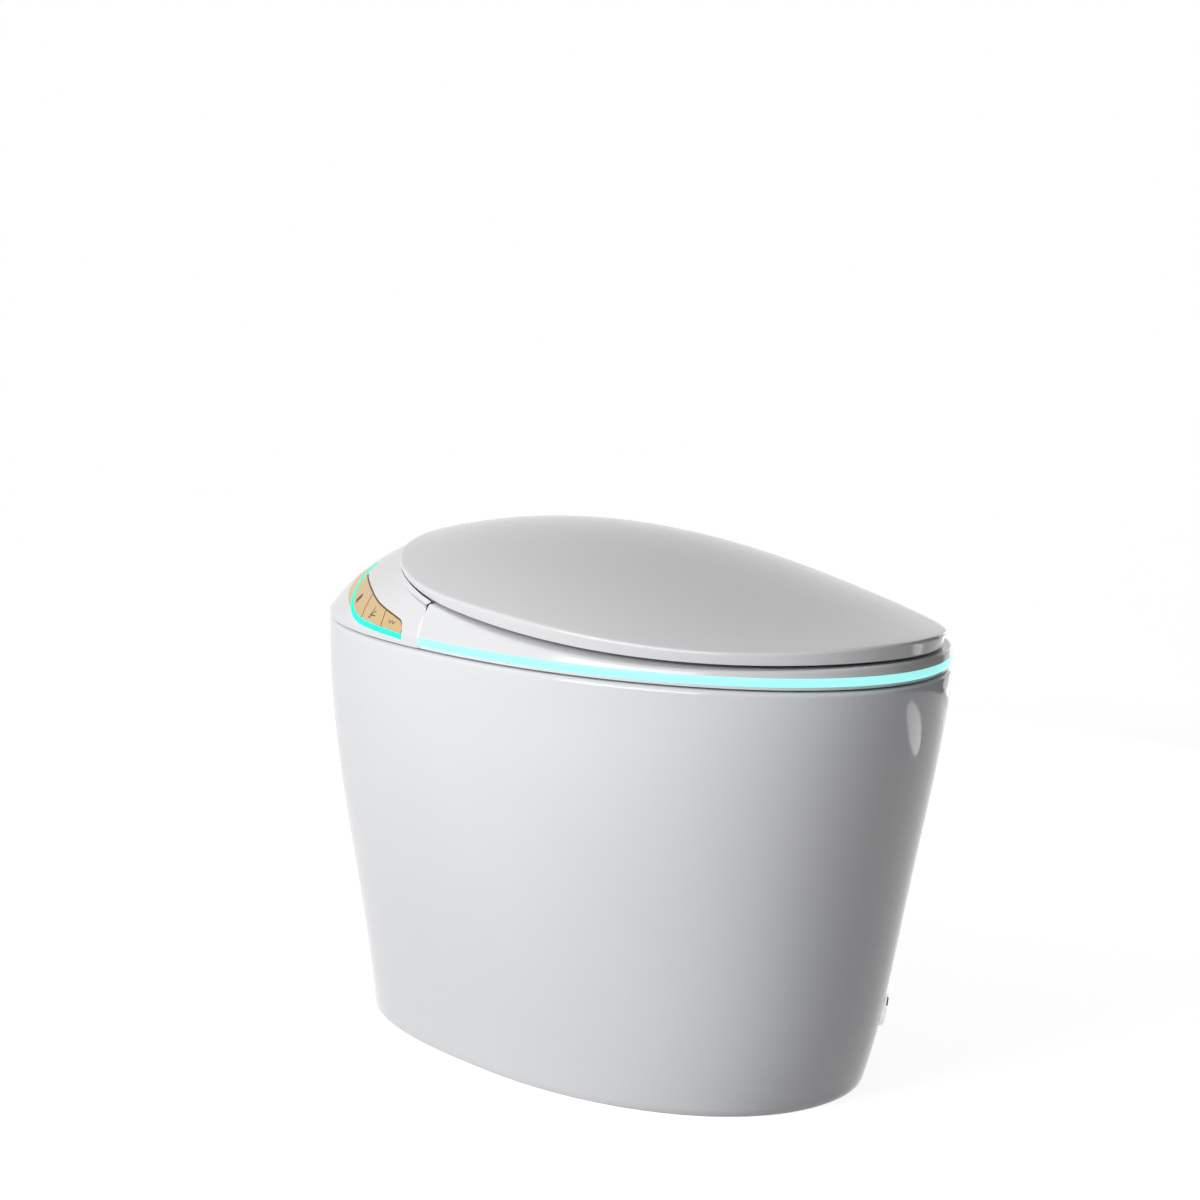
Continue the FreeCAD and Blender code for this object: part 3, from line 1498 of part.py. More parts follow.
inlet = turned("inlet_connector", [
    ("inlet_bore", "-inlet_tail"), ("tail_radius", "-inlet_tail"), ("tail_radius", "0"),
    ("inlet_flange", "0"),
    ("inlet_flange", "flange_thickness"), ("inlet_radius", "flange_thickness"),
    ("inlet_radius", "flange_thickness + inlet_length"), ("inlet_bore", "flange_thickness + inlet_length"),
])
node("inlet_connector", on_wall(inlet, "inlet_x", seat_face))
gland = turned("cord_gland", [
    ("gland_bore", "-gland_tail"), ("tail_radius", "-gland_tail"), ("tail_radius", "0"),
    ("gland_flange", "0"),
    ("gland_flange", "flange_thickness"), ("gland_base", "flange_thickness"),
    ("gland_nose", "flange_thickness + gland_dome"), ("gland_bore", "flange_thickness + gland_dome"),
])
node("cord_gland", on_wall(gland, "-inlet_x", seat_face))
nut = on_wall(
    hex_nut("wall_nut", "nut_across", "tail_radius + hole_play", "nut_height"), "inlet_x",
    f"{inner_face} - nut_height",
)
node("wall_nuts", both_sides("wall_nut_set", [nut]))

valve_y = f"{seat_face} - inlet_tail - valve_length"
valve_case = box(
    "valve_case", "inlet_x - valve_width / 2", valve_y, "inlet_z - valve_height / 2", "valve_width",
    "valve_length",
    "valve_height",
)
valve_coil = cylinder(
    "valve_coil", "Z", "inlet_x", f"{valve_y} + valve_length / 2", "inlet_z + valve_height / 2",
    "coil_radius",
    "coil_height",
)
node("solenoid_valve", fuse("valve", valve_case, valve_coil))

# Foot sensor: a round bezel in a flat-bottomed pocket, square to the wall

sensor_angle = math.radians(S.sensor_turn)
TURN_STEP = 0.01
RISE_STEP = 1.0


def wall_point(angle, z):
    return wall_egg(z).point(angle, z)


sensor_spot = wall_point(sensor_angle, S.sensor_level)
around = wall_point(sensor_angle + TURN_STEP, S.sensor_level) - sensor_spot
upward = wall_point(sensor_angle, S.sensor_level + RISE_STEP) - sensor_spot
sensor_normal = around.cross(upward).normalize()
sensor_turn = FreeCAD.Rotation(FreeCAD.Vector(0, 0, 1), sensor_normal)


def on_sensor(obj, height):
    spot = sensor_spot + sensor_normal * height
    obj.Placement.Rotation = sensor_turn
    return place(obj, spot.x, spot.y, spot.z)


def sensor_round(name, height, radius, length):
    obj = doc.addObject("Part::Cylinder", name)
    bind(obj, Radius=radius, Height=length)
    return on_sensor(obj, height)


bezel = turned("sensor_bezel", [
    ("0", "0"), ("sensor_radius", "0"), ("sensor_radius", "sensor_sunk + sensor_proud - sensor_edge"),
    ("sensor_radius - sensor_edge", "sensor_sunk + sensor_proud"),
    ("sensor_lens", "sensor_sunk + sensor_proud"),
    ("sensor_lens", "sensor_floor"), ("0", "sensor_floor"),
])
node("sensor_bezel", on_sensor(bezel, -S.sensor_sunk))
lens_top = "sensor_sunk + sensor_proud - lens_sink - sensor_floor"
lens = turned("sensor_lens", [
    ("0", "0"), ("sensor_lens - inlay_gap", "0"), ("sensor_lens - inlay_gap", f"{lens_top} - lens_edge"),
    ("sensor_lens - inlay_gap - lens_edge", lens_top), ("0", lens_top),
])
node("sensor_lens", on_sensor(lens, S.sensor_floor - S.sensor_sunk))
sensor_pocket = sensor_round(
    "sensor_pocket", -S.sensor_sunk, "sensor_radius + hole_play", "sensor_sunk + sensor_radius",
)

# China: skirt with its deck, bowl and trapway are cast apart and joined face to face before firing

bay = rounded_block(
    "bay", "-bay_half_width", "bay_front", "rim_top - 2 * deck_thickness", "2 * bay_half_width",
    "bay_rear - bay_front", "3 * deck_thickness", S.bay_corner,
)
skirt = fuse("skirt", china_shell, both_sides("wall_bosses", [wall_boss]))
wall_ports = both_sides("wall_ports", [wall_recess, wall_hole])
node("ceramic_body", cut("skirt_open", skirt, basin_outer, bay, bolt_holes, wall_ports, sensor_pocket))
node("bowl", cut("bowl_open", basin_outer, basin_inner, trap_inner))
node("trapway", cut("trapway_open", fuse("trapway_solid", trap_outer, horn), trap_inner, basin_outer))

# Check every object, then write one file per piece

doc.recompute()
for obj in doc.Objects:
    if "Invalid" in obj.State or "Error" in obj.State:
        raise RuntimeError(f"{obj.Name} failed: {obj.State}")
for name, obj in nodes.items():
    if obj.Shape.isNull() or not obj.Shape.isValid():
        raise RuntimeError(f"{name} has no valid shape")
os.makedirs("parts", exist_ok=True)
for name, obj in nodes.items():
    obj.Shape.exportStep(f"parts/{name}.step")
print(len(nodes), "pieces written")
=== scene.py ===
import json
import math

import bmesh
import bpy
import numpy as np
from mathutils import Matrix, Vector


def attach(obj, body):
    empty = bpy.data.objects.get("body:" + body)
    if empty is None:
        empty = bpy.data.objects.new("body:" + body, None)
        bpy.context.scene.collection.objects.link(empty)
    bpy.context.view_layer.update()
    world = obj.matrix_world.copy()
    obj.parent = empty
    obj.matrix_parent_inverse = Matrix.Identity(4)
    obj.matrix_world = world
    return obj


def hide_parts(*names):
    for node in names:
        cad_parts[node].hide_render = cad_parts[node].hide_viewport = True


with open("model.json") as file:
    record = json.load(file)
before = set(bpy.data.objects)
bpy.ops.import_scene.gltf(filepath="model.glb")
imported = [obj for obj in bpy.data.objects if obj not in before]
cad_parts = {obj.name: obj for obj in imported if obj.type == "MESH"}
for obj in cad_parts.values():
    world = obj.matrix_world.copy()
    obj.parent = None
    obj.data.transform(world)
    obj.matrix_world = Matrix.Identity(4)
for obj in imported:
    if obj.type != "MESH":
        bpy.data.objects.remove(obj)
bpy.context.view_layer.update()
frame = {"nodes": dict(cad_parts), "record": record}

# Smart toilet: smooth glazed and moulded shells, lit strips, gold keys, studio.
# Sizes are in millimetres in the model's own frame and become metres when a mesh is made.
MM = 0.001
FULL_TURN = 2 * math.pi
QUARTER_TURN = math.pi / 2
AROUND = 288
BAR_SIDES = 48
NEAR_X = 0.9
SHARP_ANGLE = math.radians(38)
INLAY_SHARP_ANGLE = math.radians(50)
WELD_METRES = 1e-7
SETTLE_ROUNDS = 12


class Egg:
    """Plan outline: half width, reach to the front and rear, widest place, front and rear roundness."""

    def __init__(self, half_width, front, rear, mid, front_power=2.0, rear_power=2.0):
        self.half_width = half_width
        self.front = front
        self.rear = rear
        self.mid = mid
        self.front_power = front_power
        self.rear_power = rear_power

    def inset(self, gap):
        return Egg(
            self.half_width - gap, self.front - gap, self.rear - gap,
            self.mid, self.front_power, self.rear_power,
        )

    def xy(self, angles):
        cosine = np.cos(angles)
        sine = np.sin(angles)
        behind = sine > 0
        power = 2 / np.where(behind, self.rear_power, self.front_power)
        reach = np.where(behind, self.rear - self.mid, self.front + self.mid)
        x = self.half_width * np.sign(cosine) * np.abs(cosine) ** power
        y = self.mid + reach * np.sign(sine) * np.abs(sine) ** power
        return x, y

    def angle_at(self, y):
        """Angle on the +X side where the outline passes y, behind the widest place."""
        return np.arcsin(((y - self.mid) / (self.rear - self.mid)) ** (self.rear_power / 2))

    def half_width_at(self, y):
        """Half width of the outline at y, behind the widest place."""
        share = (y - self.mid) / (self.rear - self.mid)
        return self.half_width * (1 - share ** self.rear_power) ** (1 / self.rear_power)


def through(levels, values, z):
    """Polynomial through the values at the levels."""
    total = 0.0
    for i, value in enumerate(values):
        weight = 1.0
        for j, level in enumerate(levels):
            if j != i:
                weight = weight * (z - level) / (levels[i] - level)
        total = total + value * weight
    return total


def spline(knots, values, at):
    """Natural cubic spline through the values at the knots."""
    knots = np.asarray(knots, float)
    values = np.asarray(values, float)
    step = np.diff(knots)
    count = len(knots)
    matrix = np.eye(count)
    right = np.zeros(count)
    for i in range(1, count - 1):
        matrix[i, i - 1:i + 2] = step[i - 1], 2 * (step[i - 1] + step[i]), step[i]
        right[i] = 6 * ((values[i + 1] - values[i]) / step[i] - (values[i] - values[i - 1]) / step[i - 1])
    bend = np.linalg.solve(matrix, right)
    at = np.asarray(at, float)
    i = np.clip(np.searchsorted(knots, at) - 1, 0, count - 2)
    ahead = knots[i + 1] - at
    past = at - knots[i]
    span = step[i]
    cubic = (bend[i] * ahead ** 3 + bend[i + 1] * past ** 3) / (6 * span)
    left = (values[i] / span - bend[i] * span / 6) * ahead
    return cubic + left + (values[i + 1] / span - bend[i + 1] * span / 6) * past


def blend(start, end, share):
    return start + (end - start) * share


def at_height(x, y, z):
    return np.column_stack([x, y, np.broadcast_to(z, np.shape(x))])


def curve_between(start, corner, end, steps):
    """Rows of a rounded corner, without its two ends."""
    share = [(i + 1) / (steps + 1) for i in range(steps)]
    return [start * (1 - t) ** 2 + corner * 2 * t * (1 - t) + end * t ** 2 for t in share]


# Meshes

def placed(name, data):
    """A new object of the scene."""
    item = bpy.data.objects.new(name, data)
    bpy.context.scene.collection.objects.link(item)
    return item


def smooth(piece, sharp=SHARP_ANGLE):
    piece.data.shade_smooth()
    piece.data.set_sharp_from_angle(angle=sharp)


def mesh_object(name, points, faces, sharp=SHARP_ANGLE):
    mesh = bpy.data.meshes.new(name)
    mesh.from_pydata((np.asarray(points) * MM).tolist(), [], faces)
    work = bmesh.new()
    work.from_mesh(mesh)
    bmesh.ops.remove_doubles(work, verts=work.verts, dist=WELD_METRES)
    bmesh.ops.recalc_face_normals(work, faces=work.faces)
    work.to_mesh(mesh)
    work.free()
    piece = placed(name, mesh)
    smooth(piece, sharp)
    return piece


def skin(name, rows, ring=False):
    """A closed skin over closed rows. Its first and last row are joined as a ring, or else capped."""
    count = len(rows[0])
    last = len(rows) if ring else len(rows) - 1
    faces = []
    for r in range(last):
        low = r * count
        high = ((r + 1) % len(rows)) * count
        for i in range(count):
            j = (i + 1) % count
            faces.append((low + i, low + j, high + j, high + i))
    if not ring:
        faces.append(tuple(range(count)))
        faces.append(tuple(last * count + i for i in range(count)))
    return mesh_object(name, np.vstack(rows), faces)


def joined(name, pieces):
    """One object of several closed meshes."""
    work = bmesh.new()
    for piece in pieces:
        work.from_mesh(piece.data)
        bpy.data.objects.remove(piece)
    mesh = bpy.data.meshes.new(name)
    work.to_mesh(mesh)
    work.free()
    whole = placed(name, mesh)
    smooth(whole)
    return whole


def carve(piece, tool):
    """Cut a closed tool out of a piece."""
    modifier = piece.modifiers.new("carve", "BOOLEAN")
    modifier.object = tool
    modifier.operation = "DIFFERENCE"
    modifier.solver = "EXACT"
    graph = bpy.context.evaluated_depsgraph_get()
    mesh = bpy.data.meshes.new_from_object(piece.evaluated_get(graph))
    piece.modifiers.clear()
    piece.data = mesh
    bpy.data.objects.remove(tool)
    smooth(piece)


def block(name, low, high):
    (x0, y0, z0), (x1, y1, z1) = low, high
    rows = [np.array([(x0, y0, z), (x1, y0, z), (x1, y1, z), (x0, y1, z)], float) for z in (z0, z1)]
    return skin(name, rows)


def bar(name, ends, radius):
    """Straight round bar between two ends."""
    ends = [Vector(end) for end in ends]
    along = (ends[1] - ends[0]).normalized()
    aside = Vector((1, 0, 0)) if abs(along.x) < NEAR_X else Vector((0, 1, 0))
    aside = (aside - along * aside.dot(along)).normalized()
    up = along.cross(aside)
    turns = [FULL_TURN * k / BAR_SIDES for k in range(BAR_SIDES)]
    circle = [(aside * math.cos(t) + up * math.sin(t)) * radius for t in turns]
    return skin(name, [np.array([end + spoke for spoke in circle]) for end in ends])


# Materials

PATCH_DETAIL, FINE_DETAIL = 3.0, 2.0
NOISE_LOW, NOISE_HIGH = 0.3, 0.7
COAT_ROUGHNESS = 0.04


def new_material(name):
    material = bpy.data.materials.new(name)
    material.use_nodes = True
    tree = material.node_tree
    return material, tree.nodes, tree.links, tree.nodes["Principled BSDF"]


def noise(nodes, links, place, scale, detail, stretch):
    texture = nodes.new("ShaderNodeTexNoise")
    texture.inputs["Scale"].default_value = scale
    texture.inputs["Detail"].default_value = detail
    source = place.outputs["Object"]
    if stretch:
        mapping = nodes.new("ShaderNodeMapping")
        mapping.inputs["Scale"].default_value = stretch
        links.new(source, mapping.inputs["Vector"])
        source = mapping.outputs["Vector"]
    links.new(source, texture.inputs["Vector"])
    return texture.outputs["Fac"]


def spread(nodes, links, source, low, high):
    """Noise spread over a range of values."""
    node = nodes.new("ShaderNodeMapRange")
    node.inputs["From Min"].default_value = NOISE_LOW
    node.inputs["From Max"].default_value = NOISE_HIGH
    node.inputs["To Min"].default_value = low
    node.inputs["To Max"].default_value = high
    links.new(source, node.inputs["Value"])
    return node.outputs["Result"]


def finish(
    name, colour, second, roughness, mottle, grain=260.0, metallic=0.0, coat=0.0, specular=0.5,
    wave=0.0, wave_scale=0.0, stretch=None, glow=None, glow_strength=0.0,
):
    """Principled surface: two close colours in soft patches, uneven gloss, and a fine or slow wave."""
    material, nodes, links, shader = new_material(name)
    place = nodes.new("ShaderNodeTexCoord")
    mix = nodes.new("ShaderNodeMix")
    mix.data_type = "RGBA"
    mix.inputs["A"].default_value = (*colour, 1)
    mix.inputs["B"].default_value = (*second, 1)
    patch = noise(nodes, links, place, mottle, PATCH_DETAIL, stretch)
    links.new(spread(nodes, links, patch, 0, 1), mix.inputs["Factor"])
    links.new(mix.outputs["Result"], shader.inputs["Base Color"])
    gloss = noise(nodes, links, place, grain, FINE_DETAIL, stretch)
    links.new(spread(nodes, links, gloss, *roughness), shader.inputs["Roughness"])
    shader.inputs["Metallic"].default_value = metallic
    shader.inputs["Specular IOR Level"].default_value = specular
    shader.inputs["Coat Weight"].default_value = coat
    shader.inputs["Coat Roughness"].default_value = COAT_ROUGHNESS
    if wave:
        bump = nodes.new("ShaderNodeBump")
        bump.inputs["Strength"].default_value = 1.0
        bump.inputs["Distance"].default_value = wave
        links.new(noise(nodes, links, place, wave_scale, FINE_DETAIL, stretch), bump.inputs["Height"])
        links.new(bump.outputs["Normal"], shader.inputs["Normal"])
    if glow:
        shader.inputs["Emission Color"].default_value = (*glow, 1)
        shader.inputs["Emission Strength"].default_value = glow_strength
    return material


FINISHES = {
    "glaze": finish(
        "glaze", (0.79, 0.80, 0.82), (0.81, 0.815, 0.83), (0.05, 0.09), mottle=6, grain=60,
        specular=0.42, wave=2e-5, wave_scale=22,
    ),
    "white_gloss": finish(
        "white_gloss", (0.78, 0.785, 0.80), (0.80, 0.80, 0.81), (0.12, 0.17), mottle=8, grain=90,
        specular=0.42, wave=1.2e-5, wave_scale=30,
    ),
    "white_plain": finish(
        "white_plain", (0.74, 0.745, 0.755), (0.77, 0.77, 0.775), (0.38, 0.48), mottle=12, grain=420,
        wave=2e-5, wave_scale=900,
    ),
    "gold": finish(
        "gold", (0.68, 0.49, 0.24), (0.76, 0.56, 0.30), (0.30, 0.42), mottle=30, grain=520,
        metallic=0.7, wave=1e-5, wave_scale=1400, stretch=(1, 0.12, 1),
    ),
    "bronze": finish(
        "bronze", (0.10, 0.045, 0.012), (0.14, 0.065, 0.02), (0.45, 0.6), mottle=60, metallic=0.3,
    ),
    "seat_glow": finish(
        "seat_glow", (0.12, 0.40, 0.38), (0.14, 0.42, 0.40), (0.3, 0.4), mottle=5, grain=120,
        specular=0.25, glow=(0.39, 0.95, 0.91), glow_strength=0.88,
    ),
    "panel_glow": finish(
        "panel_glow", (0.01, 0.30, 0.20), (0.015, 0.32, 0.22), (0.45, 0.55), mottle=10, grain=120,
        specular=0.15, glow=(0.025, 0.95, 0.66), glow_strength=0.9,
    ),
    "rubber": finish(
        "rubber", (0.55, 0.555, 0.56), (0.5, 0.505, 0.51), (0.6, 0.75), mottle=40,
        wave=3e-5, wave_scale=700,
    ),
    "steel": finish(
        "steel", (0.55, 0.56, 0.57), (0.62, 0.62, 0.63), (0.25, 0.4), mottle=50, grain=600,
        metallic=1.0, stretch=(0.1, 1, 1),
    ),
    "chrome": finish(
        "chrome", (0.68, 0.69, 0.70), (0.74, 0.74, 0.75), (0.08, 0.16), mottle=20, grain=200, metallic=1.0,
    ),
    "board": finish(
        "board", (0.02, 0.12, 0.05), (0.03, 0.16, 0.07), (0.4, 0.55), mottle=70,
        wave=3e-5, wave_scale=500,
    ),
    "heater_foil": finish(
        "heater_foil", (0.75, 0.46, 0.22), (0.7, 0.42, 0.2), (0.3, 0.4), mottle=40, metallic=0.8,
    ),
    "grey_plain": finish(
        "grey_plain", (0.33, 0.335, 0.34), (0.37, 0.37, 0.375), (0.42, 0.52), mottle=14, grain=420,
        wave=2e-5, wave_scale=900,
    ),
    "dark_lens": finish(
        "dark_lens", (0.012, 0.012, 0.016), (0.02, 0.018, 0.022), (0.04, 0.08), mottle=25, coat=0.5,
    ),
}
INK = finish("icon_ink", (0.045, 0.03, 0.018), (0.06, 0.04, 0.024), (0.4, 0.55), mottle=120)


def dress(piece, body, slot, *nodes):
    """Give a piece its finish and its body, and hide the solids that it stands for."""
    piece.data.materials.clear()
    piece.data.materials.append(FINISHES[slot])
    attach(piece, body)
    if nodes:
        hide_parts(*nodes)
    return piece


slot_of = {row["node"]: row["material_slot"] for row in frame["record"]["subparts"]}
for name, cad_object in frame["nodes"].items():
    if not cad_object.material_slots:
        cad_object.data.materials.append(None)
    for place in cad_object.material_slots:
        place.material = FINISHES[slot_of[name]]

# Outlines that pieces share

RIM_TOP = 393.0
RIM_ROUND = 4.5
WALL_LEVELS = (0, 100, 200, 300, RIM_TOP)
WALL_HALF_WIDTH = (169, 180.5, 195.6, 207.4, 209.7)
WALL_FRONT = (249.5, 280.6, 302, 326, 343)
WALL_REAR = (315, 323.4, 334.6, 343, 344.6)
FOOT_MID, RIM_MID = 28, 36.5
FOOT_POWERS = (2.1, 2.59)
RIM_POWERS = (2.0, 2.42)
EDGE_LOW_Y, EDGE_LOW_Z, EDGE_RADIUS = -223, 410.8, 1582
EDGE_TURN_Y, EDGE_REAR_RADIUS = 85, 2700
HALF_GAP = 1.5


def wall_egg(z):
    share = z / RIM_TOP
    return Egg(
        through(WALL_LEVELS, WALL_HALF_WIDTH, z), through(WALL_LEVELS, WALL_FRONT, z),
        through(WALL_LEVELS, WALL_REAR, z), blend(FOOT_MID, RIM_MID, share),
        blend(FOOT_POWERS[0], RIM_POWERS[0], share), blend(FOOT_POWERS[1], RIM_POWERS[1], share),
    )


def edge_z(y):
    """Height of the line between lid and seat."""
    y = np.asarray(y, float)
    turn = math.asin((EDGE_TURN_Y - EDGE_LOW_Y) / EDGE_RADIUS)
    turn_z = EDGE_LOW_Z + EDGE_RADIUS * (1 - math.cos(turn))
    hollow = EDGE_LOW_Z + EDGE_RADIUS - np.sqrt(EDGE_RADIUS ** 2 - (y - EDGE_LOW_Y) ** 2)
    run = y - EDGE_TURN_Y - EDGE_REAR_RADIUS * math.sin(turn)
    crowned = turn_z - EDGE_REAR_RADIUS * math.cos(turn) + np.sqrt(EDGE_REAR_RADIUS ** 2 - run ** 2)
    return np.where(y <= EDGE_TURN_Y, hollow, crowned)


ANGLES = np.linspace(0, FULL_TURN, AROUND, endpoint=False)
RIM = wall_egg(RIM_TOP)

# Ceramic body: one glazed skin from the sump up the bowl, over the rim, down the skirt and back up inside

CHINA_WALL = 12
DECK = 14
BOWL_WALL = 10
BOWL_LIP = 6
BOWL_LEVELS = (165, 285, RIM_TOP)
BOWL_HALF_WIDTH = (58, 132, 158)
BOWL_FRONT = (125, 262, 296)
BOWL_REAR = (-5, 30, 46)
BOWL_MID = -70
BOWL_FRONT_POWER = 2.0
BOWL_REAR_POWER = (2.0, 2.2, 2.3)
SUMP_ROUND, SUMP_STEP, SUMP_CURVE = 14, 1, 7
SUMP_SHARES = (0.06, 0.25, 0.45, 0.65, 0.8, 0.9, 0.97)
DECK_SHARES = (0.05, 0.3, 0.6, 0.9)
FOOT_ROUND = 2
BOWL_ROWS, LIP_ROWS, RIM_ROWS, SKIRT_ROWS = 44, 9, 10, 72
FOOT_ROWS, WALL_BACK_ROWS, BOWL_BACK_ROWS = 6, 16, 20
TRAP_BORE, TRAP_REACH = 27, 30
TRAP_LEVEL = BOWL_LEVELS[0] + TRAP_BORE
BAY_LOW, BAY_HIGH = (-118, 112, 370), (118, 292, 400)
INLET_X, INLET_Z = 60, 330
RECESS_RADIUS, RECESS_START, RECESS_LENGTH = 19, 329, 40


def bowl_egg(z):
    return Egg(
        through(BOWL_LEVELS, BOWL_HALF_WIDTH, z), through(BOWL_LEVELS, BOWL_FRONT, z),
        through(BOWL_LEVELS, BOWL_REAR, z), BOWL_MID,
        BOWL_FRONT_POWER, through(BOWL_LEVELS, BOWL_REAR_POWER, z),
    )


def egg_row(egg, z):
    x, y = egg.xy(ANGLES)
    return at_height(x, y, z)


def sump_rows(low, egg):
    """A dished floor that runs out into the wall."""
    x, y = egg.xy(ANGLES)
    y_mid = (egg.rear - egg.front) / 2
    rows = []
    for share in SUMP_SHARES:
        rows.append(at_height(x * share, y_mid + (y - y_mid) * share, low + SUMP_ROUND * share ** SUMP_CURVE))
    return rows


def ceramic():
    sump = BOWL_LEVELS[0]
    rows = sump_rows(sump, bowl_egg(sump + SUMP_ROUND))
    for z in np.linspace(sump + SUMP_ROUND + SUMP_STEP, RIM_TOP - BOWL_LIP, BOWL_ROWS):
        rows.append(egg_row(bowl_egg(z), z))
    lip = bowl_egg(RIM_TOP - BOWL_LIP)
    for turn in np.linspace(0, QUARTER_TURN, LIP_ROWS)[1:]:
        z = RIM_TOP - BOWL_LIP * (1 - math.sin(turn))
        rows.append(egg_row(lip.inset(-BOWL_LIP * (1 - math.cos(turn))), z))
    inner = rows[-1]
    outer = egg_row(RIM.inset(RIM_ROUND), RIM_TOP)
    rows += [blend(inner, outer, share) for share in DECK_SHARES]
    for turn in np.linspace(0, QUARTER_TURN, RIM_ROWS):
        z = RIM_TOP - RIM_ROUND * (1 - math.cos(turn))
        rows.append(egg_row(wall_egg(z).inset(RIM_ROUND * (1 - math.sin(turn))), z))
    for z in np.linspace(RIM_TOP - RIM_ROUND, FOOT_ROUND, SKIRT_ROWS)[1:]:
        rows.append(egg_row(wall_egg(z), z))
    for turn in np.linspace(0, QUARTER_TURN, FOOT_ROWS)[1:]:
        z = FOOT_ROUND * (1 - math.sin(turn))
        rows.append(egg_row(wall_egg(0).inset(FOOT_ROUND * (1 - math.cos(turn))), z))
    for z in np.linspace(0, RIM_TOP - DECK, WALL_BACK_ROWS):
        rows.append(egg_row(wall_egg(z).inset(CHINA_WALL), z))
    for z in np.linspace(RIM_TOP - DECK, sump, BOWL_BACK_ROWS):
        rows.append(egg_row(bowl_egg(z).inset(-BOWL_WALL), z))
    rows.append(egg_row(bowl_egg(sump), sump - BOWL_WALL))
    body = skin("ceramic_shell", rows)
    carve(body, bar("trap_entry", [(0, BOWL_MID, TRAP_LEVEL), (0, TRAP_REACH, TRAP_LEVEL)], TRAP_BORE))
    carve(body, block("bay", BAY_LOW, BAY_HIGH))
    for side in (-1, 1):
        ends = [(side * INLET_X, y, INLET_Z) for y in (RECESS_START, RECESS_START + RECESS_LENGTH)]
        carve(body, bar("recess", ends, RECESS_RADIUS))
    return body


dress(ceramic(), "root", "glaze", "ceramic_body", "bowl")

# Lid: crowned shell with a soft upper edge and an undercut side band

LID_HALF_WIDTH, LID_FRONT, LID_REAR, LID_MID, LID_POWER = 198.5, 345, 237.5, 24, 1.95
LID_SIDE_LEVEL, LID_FRONT_LEVEL, LID_REAR_LEVEL = 442, 430.5, 471.5
LID_SLANT = 0.3
LID_EDGE, LID_EDGE_STEPS = 3.2, 7
LID_LOW_EDGE, LID_LOW_STEPS = 0.8, 3
LID_WALL, LID_WALL_SLOPE = 3.5, 0.5
LID_CENTRE, LID_ROWS = 0.03, 46
LID_BAND_SHARES = (0.2, 0.4, 0.6, 0.8, 1.0)
LID_UNDER_SHARES = (0.9, 0.7, 0.5, 0.3, LID_CENTRE)
CROWN_RADIUS, CROWN_SPARE = 537, 2
CROWN_Y = (-345, -287, -187, -87, 13, 113, 213, 237.5)
CROWN_Z = (430.5, 434, 447, 464, 479, 485, 476.5, 471.5)


def lid_xy(z, inset=0.0):
    half = LID_HALF_WIDTH + LID_SLANT * (z - LID_SIDE_LEVEL) - inset
    front = LID_FRONT + LID_SLANT * (z - LID_FRONT_LEVEL) - inset
    rear = LID_REAR + LID_SLANT * (z - LID_REAR_LEVEL) - inset
    return Egg(half, front, rear, LID_MID, LID_POWER, LID_POWER).xy(ANGLES)


def crown(x, y):
    y = np.clip(y, CROWN_Y[0] - CROWN_SPARE, CROWN_Y[-1] + CROWN_SPARE)
    return spline(CROWN_Y, CROWN_Z, y) - CROWN_RADIUS + np.sqrt(CROWN_RADIUS ** 2 - x ** 2)


def lid_low(x, y):
    """Height of the lid's lower edge."""
    return edge_z(y) + HALF_GAP


def settle(height, inset=0.0):
    """Points of the lid's side where it reaches a height that depends on the place."""
    z = np.full(AROUND, float(LID_SIDE_LEVEL))
    for _ in range(SETTLE_ROUNDS):
        x, y = lid_xy(z, inset)
        z = height(x, y)
    return at_height(x, y, z)


def lid_side(z):
    """Points of the side band at heights z."""
    return at_height(*lid_xy(z), z)


def lid_top(edge, share, drop=0.0):
    """Points of the crown at a share of the way out to its edge."""
    x = edge[:, 0] * share
    y = LID_MID + (edge[:, 1] - LID_MID) * share
    return at_height(x, y, crown(x, y) - drop)


def lid():
    edge = settle(crown)
    reach = np.hypot(edge[:, 0], edge[:, 1] - LID_MID)
    inner_share = 1 - LID_EDGE / reach
    rows = [lid_top(edge, inner_share * share) for share in np.linspace(LID_CENTRE, 1, LID_ROWS)]
    below = lid_side(edge[:, 2] - LID_EDGE)
    rows += curve_between(rows[-1], edge, below, LID_EDGE_STEPS) + [below]
    low = settle(lid_low)
    rows += [lid_side(blend(below[:, 2], low[:, 2] + LID_LOW_EDGE, share)) for share in LID_BAND_SHARES]
    under = settle(lid_low, LID_LOW_EDGE)
    rows += curve_between(rows[-1], low, under, LID_LOW_STEPS) + [under]
    rows.append(settle(lid_low, LID_WALL))
    rows.append(settle(lambda x, y: crown(x, y) - LID_WALL, LID_WALL + LID_WALL_SLOPE))
    rows += [lid_top(edge, share, LID_WALL) for share in LID_UNDER_SHARES]
    return skin("lid_shell", rows)


dress(lid(), "lid", "white_gloss", "lid_outer")

# Seat: ring with a soft inner edge, cut for the nozzle, and its tongue to the hinge

